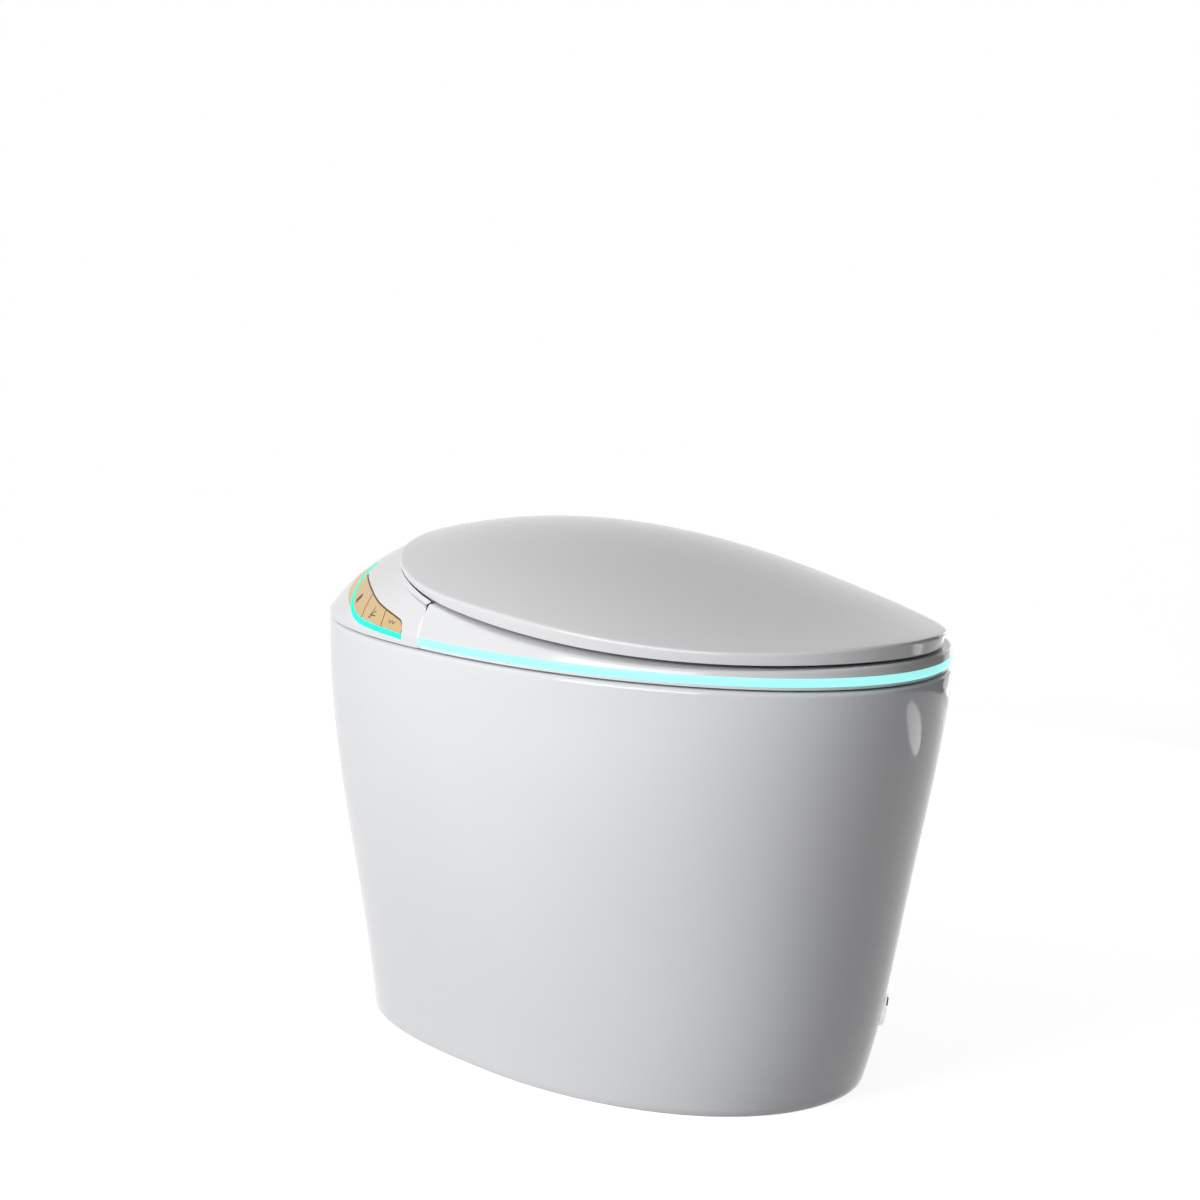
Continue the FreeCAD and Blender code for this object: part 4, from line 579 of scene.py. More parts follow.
LIGHT_LOW, LIGHT_HIGH, LIGHT_DEPTH, LIGHT_GAP = 397.5, 405, 7, 0.3
LIGHT_CORNER, LIGHT_CUT = 0.8, 0.3
SEAT_LEVELS = (405, 422, 440)
SEAT_START_LEVEL = 420.0
SEAT_HALF_WIDTH = (209.4, 203, 193)
SEAT_FRONT = (342.4, 341, 336.5)
SEAT_REAR = (344.4, 345, 345)
SEAT_FRONT_POWER = 2.0
SEAT_REAR_POWER = (2.42, 2.2, 2.0)
SEAT_END = 56.7
SEAT_BOTTOM = 398.2
SEAT_EDGE, SEAT_EDGE_STEPS = 3.0, 5
SEAT_SIDE_ROWS, SEAT_TOP_ROWS = 14, 12
HOLE = Egg(106, 258, 34, -100)
HOLE_EDGE, HOLE_EDGE_STEPS = 9, 7
HOLE_TURN = math.radians(58)
SEAT_DIP = 3.0
SEAT_FRONT_POINTS, SEAT_REAR_POINTS = 260, 40
SEAT_POINTS = SEAT_FRONT_POINTS + SEAT_REAR_POINTS
REAR_SHARES = np.linspace(0, 1, SEAT_REAR_POINTS + 2)[1:-1]
TONGUE_INSET, TONGUE_REAR, TONGUE_THICKNESS = 11, 215, 12
TONGUE_EGG = Egg(
    LID_HALF_WIDTH - TONGUE_INSET, LID_FRONT, LID_REAR - TONGUE_INSET, LID_MID, LID_POWER, LID_POWER,
)
TONGUE_OVERLAP, TONGUE_ROWS = 4, 60
TONGUE_CORNER, TONGUE_CORNER_STEPS = 2.5, 5
PORT_LOW, PORT_HIGH = (-46, 0, 390), (46, 60, 416)
HINGE_Y, HINGE_Z = 228, 461
KNUCKLE_RADIUS, PIN_RADIUS, BORE_SPARE = 5.5, 3.05, 5
KNUCKLE_STEPS = 18
SEAT_KNUCKLE = (20.3, 32.3)
ARM_START = (209, 459)
EYE_TURN, ARM_TURN = -100, 80


def front_sweep(start):
    """Angles from a start on the +X side, round the front, to its mirror place."""
    return start - (math.pi + 2 * start) * np.linspace(0, 1, SEAT_FRONT_POINTS)


def seat_loop(z, inset=0.0):
    """Outer outline of the seat at heights z: round the front, then straight across the rear."""
    z = z[:SEAT_FRONT_POINTS]
    egg = Egg(
        through(SEAT_LEVELS, SEAT_HALF_WIDTH, z) - inset, through(SEAT_LEVELS, SEAT_FRONT, z) - inset,
        through(SEAT_LEVELS, SEAT_REAR, z), RIM_MID,
        SEAT_FRONT_POWER, through(SEAT_LEVELS, SEAT_REAR_POWER, z),
    )
    x, y = egg.xy(front_sweep(egg.angle_at(SEAT_END - inset)))
    rear_x = blend(x[-1], x[0], REAR_SHARES)
    rear_y = np.full(SEAT_REAR_POINTS, SEAT_END - inset)
    return np.concatenate([x, rear_x]), np.concatenate([y, rear_y])


def seat_at(height, inset=0.0):
    """Points of the seat's side where it reaches a height that depends on y."""
    z = np.full(SEAT_POINTS, SEAT_START_LEVEL)
    for _ in range(SETTLE_ROUNDS):
        x, y = seat_loop(z, inset)
        z = height(y)
    return at_height(x, y, z)


def level(z):
    """The same height at every y."""
    return lambda y: np.full_like(y, z)


def hole_row(inset, height):
    rear = math.pi - HOLE_TURN - (math.pi - 2 * HOLE_TURN) * REAR_SHARES
    x, y = HOLE.inset(inset).xy(np.concatenate([front_sweep(HOLE_TURN), rear]))
    return at_height(x, y, height(y))


def seat_top_z(y):
    return edge_z(y) - HALF_GAP


def seat_ring():
    bottom = seat_at(level(SEAT_LEVELS[0]))
    below = seat_at(lambda y: seat_top_z(y) - SEAT_EDGE)
    rows = []
    for share in np.linspace(0, 1, SEAT_SIDE_ROWS):
        z = blend(bottom[:, 2], below[:, 2], share)
        rows.append(at_height(*seat_loop(z), z))
    corner = seat_at(seat_top_z)
    inner = seat_at(seat_top_z, SEAT_EDGE)
    rows += curve_between(rows[-1], corner, inner, SEAT_EDGE_STEPS) + [inner]
    brink = hole_row(-HOLE_EDGE, lambda y: seat_top_z(y) - SEAT_DIP)
    for share in np.linspace(0, 1, SEAT_TOP_ROWS)[1:]:
        row = blend(inner, brink, share)
        row[:, 2] = seat_top_z(row[:, 1]) - SEAT_DIP * share ** 2
        rows.append(row)
    wall = hole_row(0, lambda y: seat_top_z(y) - SEAT_DIP - HOLE_EDGE)
    edge = hole_row(0, lambda y: seat_top_z(y) - SEAT_DIP)
    rows += curve_between(brink, edge, wall, HOLE_EDGE_STEPS) + [wall]
    rows.append(hole_row(0, level(SEAT_BOTTOM)))
    rows += [seat_at(level(z), LIGHT_DEPTH + LIGHT_GAP) for z in (SEAT_BOTTOM, SEAT_LEVELS[0])]
    ring = skin("seat_ring", rows, ring=True)
    carve(ring, block("port", PORT_LOW, PORT_HIGH))
    return ring


def arc(centre, radius, start, turn, steps):
    """Points of an arc in a plane."""
    turns = [start + turn * k / steps for k in range(steps + 1)]
    return [(centre[0] + radius * math.cos(t), centre[1] + radius * math.sin(t)) for t in turns]


def seat_tongue():
    rows = []
    for y in np.linspace(SEAT_END - TONGUE_OVERLAP, TONGUE_REAR, TONGUE_ROWS):
        half = TONGUE_EGG.half_width_at(y) - TONGUE_CORNER
        top = float(seat_top_z(y))
        high, low = top - TONGUE_CORNER, top - TONGUE_THICKNESS + TONGUE_CORNER
        section = []
        for quarter, centre in enumerate(((half, high), (-half, high), (-half, low), (half, low))):
            section += arc(centre, TONGUE_CORNER, QUARTER_TURN * quarter, QUARTER_TURN, TONGUE_CORNER_STEPS)
        rows.append(np.array([(x, y, z) for x, z in section]))
    return skin("seat_tongue", rows)


def knuckle(name, side):
    """A hinge eye with its arm, cut for the pin."""
    outline = []
    for centre, start in (((HINGE_Y, HINGE_Z), EYE_TURN), (ARM_START, ARM_TURN)):
        outline += arc(centre, KNUCKLE_RADIUS, math.radians(start), math.pi, KNUCKLE_STEPS)
    rows = [np.array([(side * x, y, z) for y, z in outline]) for x in SEAT_KNUCKLE]
    eye = skin(name, rows)
    reach = (SEAT_KNUCKLE[0] - BORE_SPARE, SEAT_KNUCKLE[1] + BORE_SPARE)
    carve(eye, bar("bore", [(side * x, HINGE_Y, HINGE_Z) for x in reach], PIN_RADIUS))
    return eye


def seat():
    pieces = [seat_ring(), seat_tongue(), knuckle("eye_right", 1), knuckle("eye_left", -1)]
    return joined("seat_shell", pieces)


dress(seat(), "seat", "white_gloss", "seat_top")


def seat_light():
    """Lit band round the seat's lower edge, with softened corners."""
    angles = front_sweep(RIM.angle_at(SEAT_END))
    cut = LIGHT_CORNER * LIGHT_CUT
    section = [
        (LIGHT_DEPTH, LIGHT_LOW), (LIGHT_CORNER, LIGHT_LOW),
        (cut, LIGHT_LOW + cut), (0, LIGHT_LOW + LIGHT_CORNER),
        (0, LIGHT_HIGH - LIGHT_CORNER), (cut, LIGHT_HIGH - cut),
        (LIGHT_CORNER, LIGHT_HIGH), (LIGHT_DEPTH, LIGHT_HIGH),
    ]
    bands = [at_height(*RIM.inset(inset).xy(angles), z) for inset, z in section]
    rows = [np.array([band[i] for band in bands]) for i in range(len(angles))]
    return skin("seat_light_band", rows)


dress(seat_light(), "seat", "seat_glow", "seat_light")

# Rear cover: crowned skin between the rim and the lid, with its inner wall and the platform under the lid

SEAM_Y = 58
COVER_LOW, COVER_LIP, LIP_FALL, LIP_RUN = 395, 404, 5, 0.5
COVER_WALL = 3
COVER_EGG = Egg(198, 345, 243.5, 24, 1.95, 1.95)
BULGE_SEAM, BULGE_REAR = 1.5, 9.5
HEAD_LEAD = 0.05
PLATFORM_DROP, PLATFORM_THICKNESS, PLATFORM_GAP, PLATFORM_ROWS = 18, 3, 1, 40
TUB_DROP, TUB_STEP = 22.5, 0.5
COVER_EDGE = 1.4
TROUGH_RADIUS, TROUGH_HALF_WIDTH = 18, 72
COVER_RIBS, COVER_RIB_ENDS = 180, (0.01, 0.99)
SEAM_SUNK = {0: 1.4, 0.001: 0.6, 0.0025: 0.12, 0.005: 0.0}
LIP_STEPS, SKIN_STEPS, BRINK_STEPS, BACK_STEPS = 3, 24, 4, 10
KEY_SIDE, HALVINGS = (0.5, 1.0), 40


class Rib:
    """One upright section of the cover: foot on the rim, head under the lid's edge, an arc between."""

    def __init__(self, share):
        rim_start = RIM.angle_at(SEAM_Y)
        head_start = COVER_EGG.angle_at(SEAM_Y)
        ahead = share + HEAD_LEAD * math.sin(FULL_TURN * share)
        self.foot = np.array(RIM.xy(rim_start + (math.pi - 2 * rim_start) * share))
        self.head = np.array(COVER_EGG.xy(head_start + (math.pi - 2 * head_start) * ahead))
        self.depth = math.hypot(*(self.head - self.foot))
        self.top = float(seat_top_z(self.head[1]))
        fall = min(1.0, math.sin(math.pi * share) / LIP_RUN)
        self.lip = COVER_LIP - LIP_FALL * fall ** 2 * (3 - 2 * fall)
        rise = self.top - self.lip
        bulge = blend(BULGE_SEAM, BULGE_REAR, math.sin(math.pi * share))
        chord = math.hypot(self.depth, rise)
        self.radius = chord ** 2 / (8 * bulge) + bulge / 2
        back = (self.radius - bulge) / chord
        self.centre_u = self.depth / 2 + rise * back
        self.centre_z = (self.lip + self.top) / 2 - self.depth * back

    def across(self, z, offset):
        """Distance in from the foot, on the skin moved outward by offset, at a height."""
        if z <= self.lip:
            return -offset
        return self.centre_u - math.sqrt(max((self.radius + offset) ** 2 - (z - self.centre_z) ** 2, 0.0))

    def height(self, u, offset):
        return self.centre_z + math.sqrt(max((self.radius + offset) ** 2 - (u - self.centre_u) ** 2, 0.0))

    def place(self, u, z):
        x, y = self.foot + (self.head - self.foot) * (u / self.depth)
        return (x, y, z)


def rib_section(share, sunk):
    """Closed section of the cover wall; sunk draws the outer skin in, for the rounded seam edge."""
    rib = Rib(share)
    outer = [rib.place(sunk, COVER_LOW + (rib.lip - COVER_LOW) * k / LIP_STEPS) for k in range(LIP_STEPS + 1)]
    start = math.atan2(rib.lip - rib.centre_z, -rib.centre_u)
    end = math.atan2(rib.top - rib.centre_z, rib.depth - rib.centre_u)
    edge_turn = COVER_EDGE / rib.radius
    reach = rib.radius - sunk
    for k in range(1, SKIN_STEPS + 1):
        turn = start + (end - edge_turn - start) * k / SKIN_STEPS
        outer.append(rib.place(rib.centre_u + reach * math.cos(turn), rib.centre_z + reach * math.sin(turn)))
    brink = rib.place(rib.depth, rib.top - sunk - COVER_EDGE)
    corner = rib.place(rib.depth, rib.top - sunk)
    bend = curve_between(np.array(outer[-1]), np.array(corner), np.array(brink), BRINK_STEPS)
    outer += [tuple(p) for p in bend] + [brink]
    behind = rib.depth - COVER_WALL
    tub = rib.top - TUB_DROP
    outer += [rib.place(rib.depth, tub), rib.place(behind, tub)]
    inner = [rib.place(behind, max(rib.height(behind, -COVER_WALL), tub + TUB_STEP))]
    reach = rib.radius - COVER_WALL
    for k in range(BACK_STEPS + 1):
        turn = end + (start - end) * k / BACK_STEPS
        u = min(rib.centre_u + reach * math.cos(turn), behind)
        inner.append(rib.place(max(u, COVER_WALL), rib.centre_z + reach * math.sin(turn)))
    inner.append(rib.place(COVER_WALL, COVER_LOW))
    return np.array(outer + inner)


def platform():
    rows = []
    for y in np.linspace(SEAM_Y, COVER_EGG.rear - PLATFORM_GAP, PLATFORM_ROWS):
        half = COVER_EGG.half_width_at(y) - PLATFORM_GAP
        top = float(edge_z(y)) - PLATFORM_DROP
        low = top - PLATFORM_THICKNESS
        rows.append(np.array([(-half, y, top), (half, y, top), (half, y, low), (-half, y, low)]))
    return skin("platform", rows)


def cover_point(y, z, proud):
    """Point of the key side's skin at y and z, moved outward."""
    low, high = KEY_SIDE
    for _ in range(HALVINGS):
        share = (low + high) / 2
        rib = Rib(share)
        found = rib.place(rib.across(z, proud), z)
        if found[1] > y:
            low = share
        else:
            high = share
    return np.array(found)


# Key panel: lit strip, three keys in a frame, gold corner

STRIP_Y = (83, 143, 194, 216, 230)
STRIP_Z = (401.8, 404, 413.2, 429, 444)
STRIP_WIDTH, STRIP_TAIL_WIDTH, STRIP_TAPER_START = 5.2, 2.8, 0.55
STRIP_PROUD, STRIP_LIFT, STRIP_CROWN = 0.7, 0.05, 8
STRIP_NUDGE, STRIP_SAMPLES = 0.05, 160
STRIP_ROWS, STRIP_POINTS = 90, 11
LEAF_Y = (83.6, 104, 140, 168, 217)
LEAF_Z = (415, 419, 425, 431, 438)
LEAF_CORNER = 8.0
LEAF_END = 216.0
LEAF_GAP, LEAF_LEAST = 0.25, 0.6
LEAF_TOOL_X, LEAF_TOOL_POINTS = (-240, -110), 60
KEY_STOPS = (83.6, 120, 162, LEAF_END)
KEY_NAMES = ("key_dry", "key_wash", "key_flush")
FRAME_LINE, KEY_GAP = 1.3, 0.2
KEY_PROUD, KEY_BEVEL, KEY_SKIRT = 0.25, 0.3, 3.0
KEY_COLUMNS, KEY_ROWS, KEY_HEIGHT = 16, 8, 12.0
BEVEL_SHARES = (0, 0.15, 0.4, 0.7, 1)
MARK_TOP, MARK_STEP = KEY_PROUD + 0.06, 0.8
MARK_ACROSS = np.linspace(1, -1, 5)
FRAME_SUNK, FRAME_DEEP = 0.05, 1.5
FRAME_COLUMNS, FRAME_ROWS = 70, 9
WINDOW_PROUD, WINDOW_DEEP = 2 * FRAME_DEEP, 6 * FRAME_DEEP
INLAY_SUNK = 1.2
TRIM_START_Y, TRIM_TOP_Z, TRIM_BELLY = 195, 442, (247, 428)
TRIM_FOOT_DROP, TRIM_HEAD, TRIM_GAP = 0.3, (2, 1), 0.15
TRIM_COLUMNS, TRIM_ROWS, TRIM_WIDTH, TRIM_BEVEL = 40, 8, 10.0, 0.6

strip_knots = np.concatenate([[0], np.cumsum(np.hypot(np.diff(STRIP_Y), np.diff(STRIP_Z)))])
STRIP_LENGTH = strip_knots[-1]


def strip_at(along):
    """Centre of the lit strip, the way across it and its width, at a distance along it."""
    near = [along - STRIP_NUDGE, along, along + STRIP_NUDGE]
    y, z = [spline(strip_knots, axis, near) for axis in (STRIP_Y, STRIP_Z)]
    run = np.array([y[2] - y[0], z[2] - z[0]])
    run = run / np.hypot(*run)
    taper = max(0.0, along / STRIP_LENGTH - STRIP_TAPER_START) / (1 - STRIP_TAPER_START)
    width = blend(STRIP_WIDTH, STRIP_TAIL_WIDTH, taper)
    return np.array([y[1], z[1]]), np.array([-run[1], run[0]]), width


def strip_edge(side, gap):
    """Line beside the lit strip, above it with side 1 and below it with side -1."""
    line = []
    for along in np.linspace(0, STRIP_LENGTH, STRIP_SAMPLES):
        centre, aside, width = strip_at(along)
        line.append(centre + aside * side * (width / 2 + gap))
    return np.array(line)


def panel_light():
    rows = []
    for along in np.linspace(0, STRIP_LENGTH, STRIP_ROWS):
        centre, aside, width = strip_at(along)
        section = []
        for share in np.linspace(-1, 1, STRIP_POINTS):
            proud = STRIP_PROUD * (1 - share ** STRIP_CROWN) + STRIP_LIFT
            section.append(cover_point(*(centre + aside * share * width / 2), proud))
        for share in (1, -1):
            section.append(cover_point(*(centre + aside * share * width / 2), -INLAY_SUNK))
        rows.append(np.array(section))
    return skin("panel_light_strip", rows)


upper_strip_edge = strip_edge(1, LEAF_GAP)


def leaf_low(y):
    return np.interp(y, upper_strip_edge[:, 0], upper_strip_edge[:, 1])


def leaf_high(y):
    """Upper line of the keys, rounded down at the front corner."""
    y = np.asarray(y, float)
    inward = np.clip(LEAF_CORNER - (y - LEAF_Y[0]), 0, LEAF_CORNER)
    return spline(LEAF_Y, LEAF_Z, y) - LEAF_CORNER + np.sqrt(LEAF_CORNER ** 2 - inward ** 2)


def leaf_patch(y_start, y_end, gap_low, gap_high, columns, rows, proud_at):
    """Grid of points over a stretch of the keys' leaf. proud_at takes the distance to the nearest side."""
    grid = []
    for v in rows:
        line = []
        for u in columns:
            y = blend(y_start, y_end, u)
            low = float(leaf_low(y)) + gap_low
            high = max(float(leaf_high(y)) - gap_high, low + LEAF_LEAST)
            aside = min(u, 1 - u) * (y_end - y_start)
            above = min(v, 1 - v) * (high - low)
            line.append(cover_point(y, blend(low, high, v), proud_at(min(aside, above))))
        grid.append(line)
    return np.array(grid)


def patch_object(name, grid, back):
    """A closed inlay from a grid of its outer face, with sides and a back that lies behind it along X."""
    count_v, count_u, _ = grid.shape
    points = grid.reshape(-1, 3)
    behind = points + np.array([back, 0, 0])
    total = len(points)
    faces = []
    for v in range(count_v - 1):
        for u in range(count_u - 1):
            a = v * count_u + u
            quad = (a, a + 1, a + count_u + 1, a + count_u)
            faces.append(quad)
            faces.append(tuple(total + i for i in reversed(quad)))
    border = list(range(count_u))
    border += [v * count_u + count_u - 1 for v in range(1, count_v)]
    border += [(count_v - 1) * count_u + u for u in range(count_u - 2, -1, -1)]
    border += [v * count_u for v in range(count_v - 2, 0, -1)]
    for a, b in zip(border, border[1:] + border[:1]):
        faces.append((a, b, total + b, total + a))
    return mesh_object(name, np.vstack([points, behind]), faces, INLAY_SHARP_ANGLE)


def stops(length, bevel, middle):
    """Shares along a side, close together at the bevels."""
    edge = [bevel * k / length for k in BEVEL_SHARES]
    between = list(np.linspace(edge[-1], 1 - edge[-1], middle + 2)[1:-1])
    return edge + between + [1 - share for share in reversed(edge)]


def rounded_proud(gap):
    """Height of a key's face above the cover, rounded off at its sides."""
    if gap >= KEY_BEVEL:
        return KEY_PROUD
    return KEY_PROUD - KEY_BEVEL + math.sqrt(KEY_BEVEL ** 2 - (KEY_BEVEL - gap) ** 2)


def key_patch(start, end, spare, proud_at):
    """Grid over one key between its frame lines; spare widens it for the window that it moves in."""
    first = start + (FRAME_LINE if start == KEY_STOPS[0] else FRAME_LINE / 2) - spare + KEY_GAP
    last = end - (FRAME_LINE if end == KEY_STOPS[-1] else FRAME_LINE / 2) + spare - KEY_GAP
    columns = stops(last - first, KEY_BEVEL, KEY_COLUMNS)
    rows = stops(KEY_HEIGHT, KEY_BEVEL, KEY_ROWS)
    return leaf_patch(first, last, KEY_GAP - spare, FRAME_LINE + KEY_GAP - spare, columns, rows, proud_at)


def keys():
    for name, start, end in zip(KEY_NAMES, KEY_STOPS, KEY_STOPS[1:]):
        grid = key_patch(start, end, 0, rounded_proud)
        dress(patch_object(name + "_cap", grid, KEY_SKIRT), name, "gold", name)


# Signs on the keys: each stroke is a line of places on the skin, as y and z, and a width

FLUSH_SIGN = [([(190.5, 418), (183.5, 424.5)], 4.2)]
SPRAY, SPRAY_ENDS = (145.5, 412.4), ((140.4, 420.4), (137, 417.2), (135.4, 413.2))
SPRAY_BASE = [(148.4, 410.8), (142.4, 410.8)]
SPRAY_LINE = 0.9
WASH_SIGN = [([SPRAY, end], SPRAY_LINE) for end in SPRAY_ENDS] + [(SPRAY_BASE, SPRAY_LINE)]
WAVE_Y, WAVE_Z, WAVE_REACH, WAVE_RISE, WAVE_LINE = 103, 412.2, 6, 1.2, 0.8
WAVE = [
    (WAVE_Y - WAVE_REACH * share, WAVE_Z + WAVE_RISE * math.cos(FULL_TURN * share))
    for share in np.linspace(-1, 1, 25)
]
SIGNS = {"key_flush": FLUSH_SIGN, "key_wash": WASH_SIGN, "key_dry": [(WAVE, WAVE_LINE)]}


def mark(key, strokes):
    """Dark sign on a key, of strokes that follow its face."""
    ribbons = []
    for knots, width in strokes:
        knots = np.array(knots, float)
        reach = np.concatenate([[0], np.cumsum(np.hypot(*np.diff(knots, axis=0).T))])
        along = np.linspace(0, reach[-1], int(reach[-1] / MARK_STEP) + 3)
        line = np.column_stack([np.interp(along, reach, knots[:, axis]) for axis in (0, 1)])
        rows = []
        for i, place in enumerate(line):
            run = line[min(i + 1, len(line) - 1)] - line[max(i - 1, 0)]
            aside = np.array([-run[1], run[0]]) / np.hypot(*run) * width / 2
            section = [cover_point(*(place + aside * share), MARK_TOP) for share in MARK_ACROSS]
            section += [cover_point(*(place + aside * share), 0) for share in (-1, 1)]
            rows.append(np.array(section))
        ribbons.append(skin("stroke", rows))
    sign = joined(key + "_mark", ribbons)
    sign.data.materials.append(INK)
    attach(sign, key)


def key_frame():
    columns, rows = np.linspace(0, 1, FRAME_COLUMNS), np.linspace(0, 1, FRAME_ROWS)
    flat = leaf_patch(KEY_STOPS[0], KEY_STOPS[-1], 0, 0, columns, rows, lambda gap: -FRAME_SUNK)
    plate = patch_object("key_frame_plate", flat, FRAME_DEEP)
    for start, end in zip(KEY_STOPS, KEY_STOPS[1:]):
        window = key_patch(start, end, KEY_GAP, lambda gap: WINDOW_PROUD)
        carve(plate, patch_object("window", window, WINDOW_DEEP))
    return plate


def leaf_tool():
    """Prism of the keys' window, through the wall."""
    y = np.linspace(KEY_STOPS[0], KEY_STOPS[-1], LEAF_TOOL_POINTS)
    low = leaf_low(y)
    high = np.maximum(leaf_high(y), low + LEAF_LEAST)
    outline = list(zip(y, low)) + list(zip(y[::-1], high[::-1]))
    rows = [np.array([(x, a, b) for a, b in outline]) for x in LEAF_TOOL_X]
    return skin("leaf_tool", rows)


def corner_trim():
    edge = strip_edge(-1, TRIM_GAP)
    edge = edge[(edge[:, 0] > TRIM_START_Y) & (edge[:, 1] < TRIM_TOP_Z)]
    share = np.linspace(0, 1, TRIM_COLUMNS)
    edge_share = np.linspace(0, 1, len(edge))
    inner = np.column_stack([np.interp(share, edge_share, edge[:, axis]) for axis in (0, 1)])
    foot = inner[0] - (0, TRIM_FOOT_DROP)
    head = inner[-1] + TRIM_HEAD
    bends = [spline((0, 0.5, 1), (foot[axis], TRIM_BELLY[axis], head[axis]), share) for axis in (0, 1)]
    outer = np.column_stack(bends)
    width = np.hypot(*(outer - inner).T)
    grid = []
    for v in stops(TRIM_WIDTH, TRIM_BEVEL, TRIM_ROWS):
        line = blend(inner, outer, v)
        gaps = min(v, 1 - v) * width
        grid.append([cover_point(*place, rounded_proud(gap)) for place, gap in zip(line, gaps)])
    return patch_object("corner_trim_leaf", np.array(grid), INLAY_SUNK)


def cover():
    seam = list(SEAM_SUNK)
    shares = seam + list(np.linspace(*COVER_RIB_ENDS, COVER_RIBS)) + [1 - s for s in reversed(seam)]
    rows = [rib_section(s, SEAM_SUNK.get(round(min(s, 1 - s), 6), 0.0)) for s in shares]
    shell = skin("cover_wall", rows)
    carve(shell, leaf_tool())
    ends = [(side * TROUGH_HALF_WIDTH, HINGE_Y, HINGE_Z) for side in (-1, 1)]
    carve(shell, bar("trough", ends, TROUGH_RADIUS))
    return joined("cover_shell", [shell, platform()])


dress(cover(), "root", "white_gloss", "rear_cover")
dress(panel_light(), "root", "panel_glow", "panel_light")
dress(key_frame(), "root", "bronze", "key_frame")
dress(corner_trim(), "root", "gold", "corner_trim")
keys()
for key, strokes in SIGNS.items():
    mark(key, strokes)

# Studio: pale floor, soft boxes, white surround. Lamps are given in metres.

PALE, GREY = (0.45, 0.45, 0.455), (0.16, 0.16, 0.165)
FILL = 0.2
FLOOR_WHITE, FLOOR_HALF, FLOOR_LEVEL = 0.85, 4000, -0.2
FLAG_ENDS, FLAG_HEIGHT = ((900, -1900), (1700, 500)), 1500
PANEL_ROUGHNESS = 0.9
CAMERA_TARGET, CAMERA_DISTANCE = (0, 13, 200), 2502.7
CAMERA_TURN, CAMERA_RISE = math.radians(-40.994), math.radians(14.178)
CAMERA_LENS, CAMERA_SENSOR, CAMERA_SHIFT = 79.63, 36, (-0.0242, 0.194)
LAMPS = (
    ("key_box", (-1.56, -0.02, 0.9), (0, 0, 0.3), 1.1, 0.8, 19, "RECTANGLE"),
    ("top_box", (-0.55, 0.5, 1.3), (0, 0, 0.45), 0.9, 0.9, 0.9, "RECTANGLE"),
    ("edge_strip", (0.7, -0.72, 0.03), (0.7, -0.72, 1), 0.24, 0.44, 0.7, "ELLIPSE"),
    ("side_box", (1.45, 0.15, 0.42), (0, 0, 0.3), 0.8, 0.8, 2.5, "RECTANGLE"),
)


def seen_rays(nodes, links):
    """1 for rays from the camera, a mirror or glass, and 0 for light on the object."""
    rays = nodes.new("ShaderNodeLightPath")
    seen = rays.outputs["Is Camera Ray"]
    for kind in ("Is Glossy Ray", "Is Transmission Ray"):
        either = nodes.new("ShaderNodeMath")
        either.operation = "MAXIMUM"
        links.new(seen, either.inputs[0])
        links.new(rays.outputs[kind], either.inputs[1])
        seen = either.outputs["Value"]
    return seen


def panel(name, corners, colour, white=0.0):
    """A flat stage panel; white is how much of its own brightness the camera sees."""
    sheet = mesh_object(name, np.array(corners, float), [(0, 1, 2, 3)])
    material, nodes, links, shader = new_material(name)
    shader.inputs["Base Color"].default_value = (*colour, 1)
    shader.inputs["Roughness"].default_value = PANEL_ROUGHNESS
    if white:
        shader.inputs["Emission Color"].default_value = (1, 1, 1, 1)
        share = nodes.new("ShaderNodeMath")
        share.operation = "MULTIPLY"
        share.inputs[1].default_value = white
        links.new(seen_rays(nodes, links), share.inputs[0])
        links.new(share.outputs["Value"], shader.inputs["Emission Strength"])
    sheet.data.materials.append(material)
    return sheet


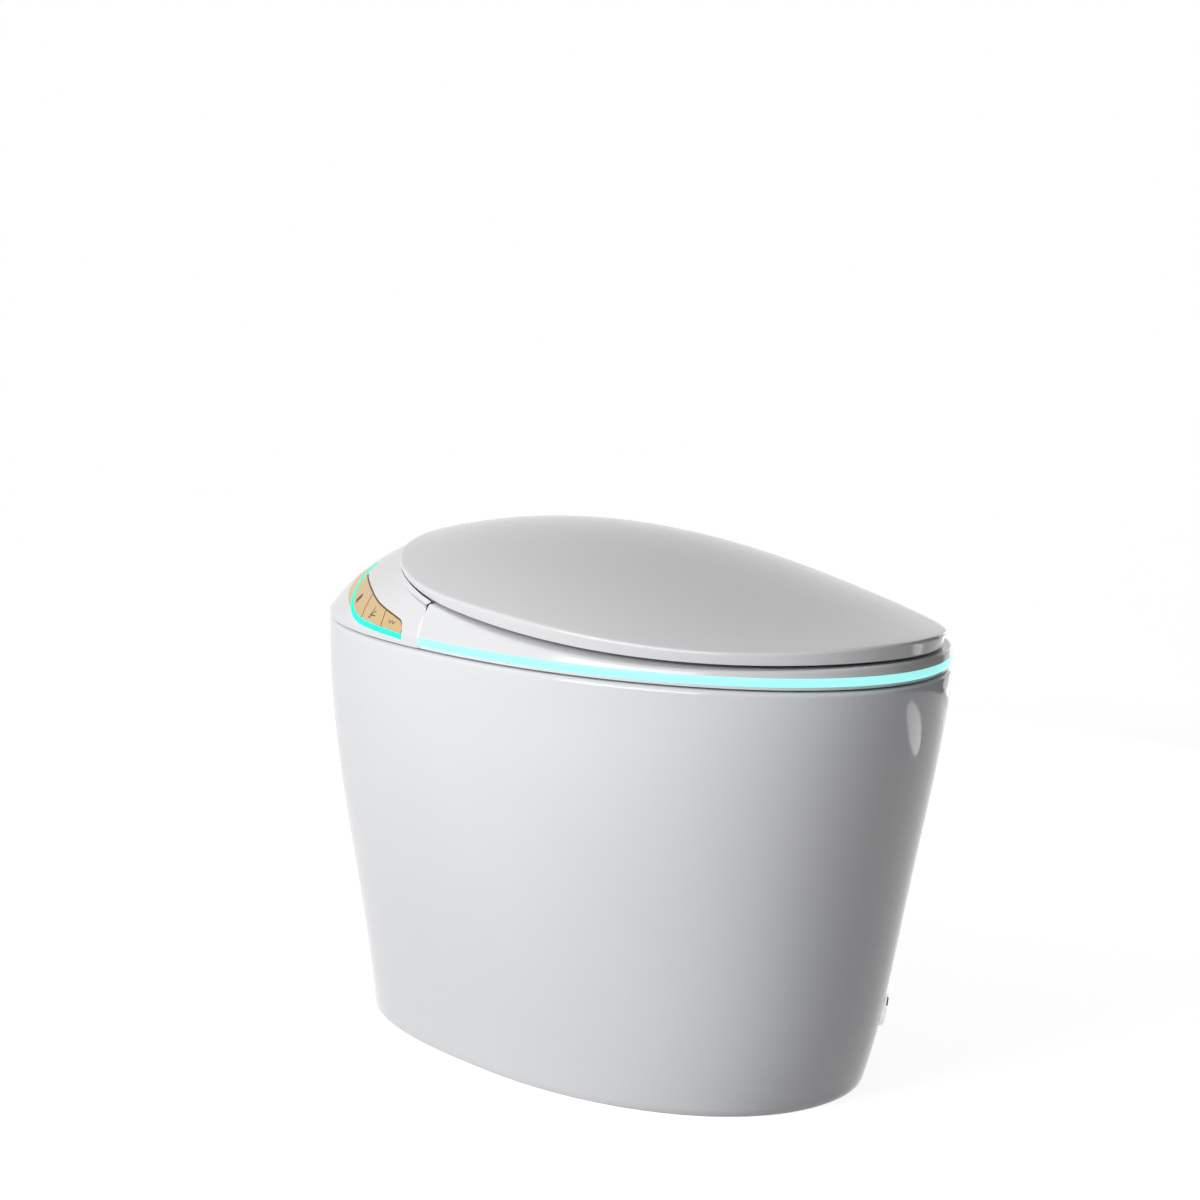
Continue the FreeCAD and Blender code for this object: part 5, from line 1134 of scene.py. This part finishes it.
def floor():
    signs = ((-1, -1), (1, -1), (1, 1), (-1, 1))
    corners = [(x * FLOOR_HALF, y * FLOOR_HALF, FLOOR_LEVEL) for x, y in signs]
    panel("floor", corners, PALE, FLOOR_WHITE)


def flag():
    """Grey panel beside the object that keeps light off its right side."""
    corners = [(*end, 0) for end in FLAG_ENDS] + [(*end, FLAG_HEIGHT) for end in reversed(FLAG_ENDS)]
    panel("flag", corners, GREY).visible_camera = False


def surround():
    world = bpy.data.worlds.new("surround")
    bpy.context.scene.world = world
    world.use_nodes = True
    nodes = world.node_tree.nodes
    links = world.node_tree.links
    backdrop = nodes["Background"]
    backdrop.inputs["Color"].default_value = (1, 1, 1, 1)
    strength = nodes.new("ShaderNodeMapRange")
    strength.inputs["To Min"].default_value = FILL
    strength.inputs["To Max"].default_value = 1.0
    links.new(seen_rays(nodes, links), strength.inputs["Value"])
    links.new(strength.outputs["Result"], backdrop.inputs["Strength"])


def facing(way):
    """Turn of a lamp or camera that looks along a way."""
    return way.to_track_quat("-Z", "Y").to_euler()


def lamp(name, place, aim, width, height, watts, shape):
    light = bpy.data.lights.new(name, "AREA")
    light.shape = shape
    light.size = width
    light.size_y = height
    light.energy = watts
    holder = placed(name, light)
    holder.location = place
    holder.rotation_euler = facing(Vector(aim) - Vector(place))
    holder.visible_camera = False


def camera():
    level_reach = math.cos(CAMERA_RISE)
    back = Vector((
        math.sin(CAMERA_TURN) * level_reach, -math.cos(CAMERA_TURN) * level_reach, math.sin(CAMERA_RISE),
    ))
    lens = bpy.data.cameras.new("camera")
    lens.lens = CAMERA_LENS
    lens.sensor_width = CAMERA_SENSOR
    lens.shift_x, lens.shift_y = CAMERA_SHIFT
    holder = placed("camera", lens)
    holder.location = Vector(CAMERA_TARGET) * MM + back * CAMERA_DISTANCE * MM
    holder.rotation_euler = facing(-back)
    bpy.context.scene.camera = holder


floor()
flag()
surround()
camera()
for row in LAMPS:
    lamp(*row)
bpy.context.scene.view_settings.view_transform = "Standard"
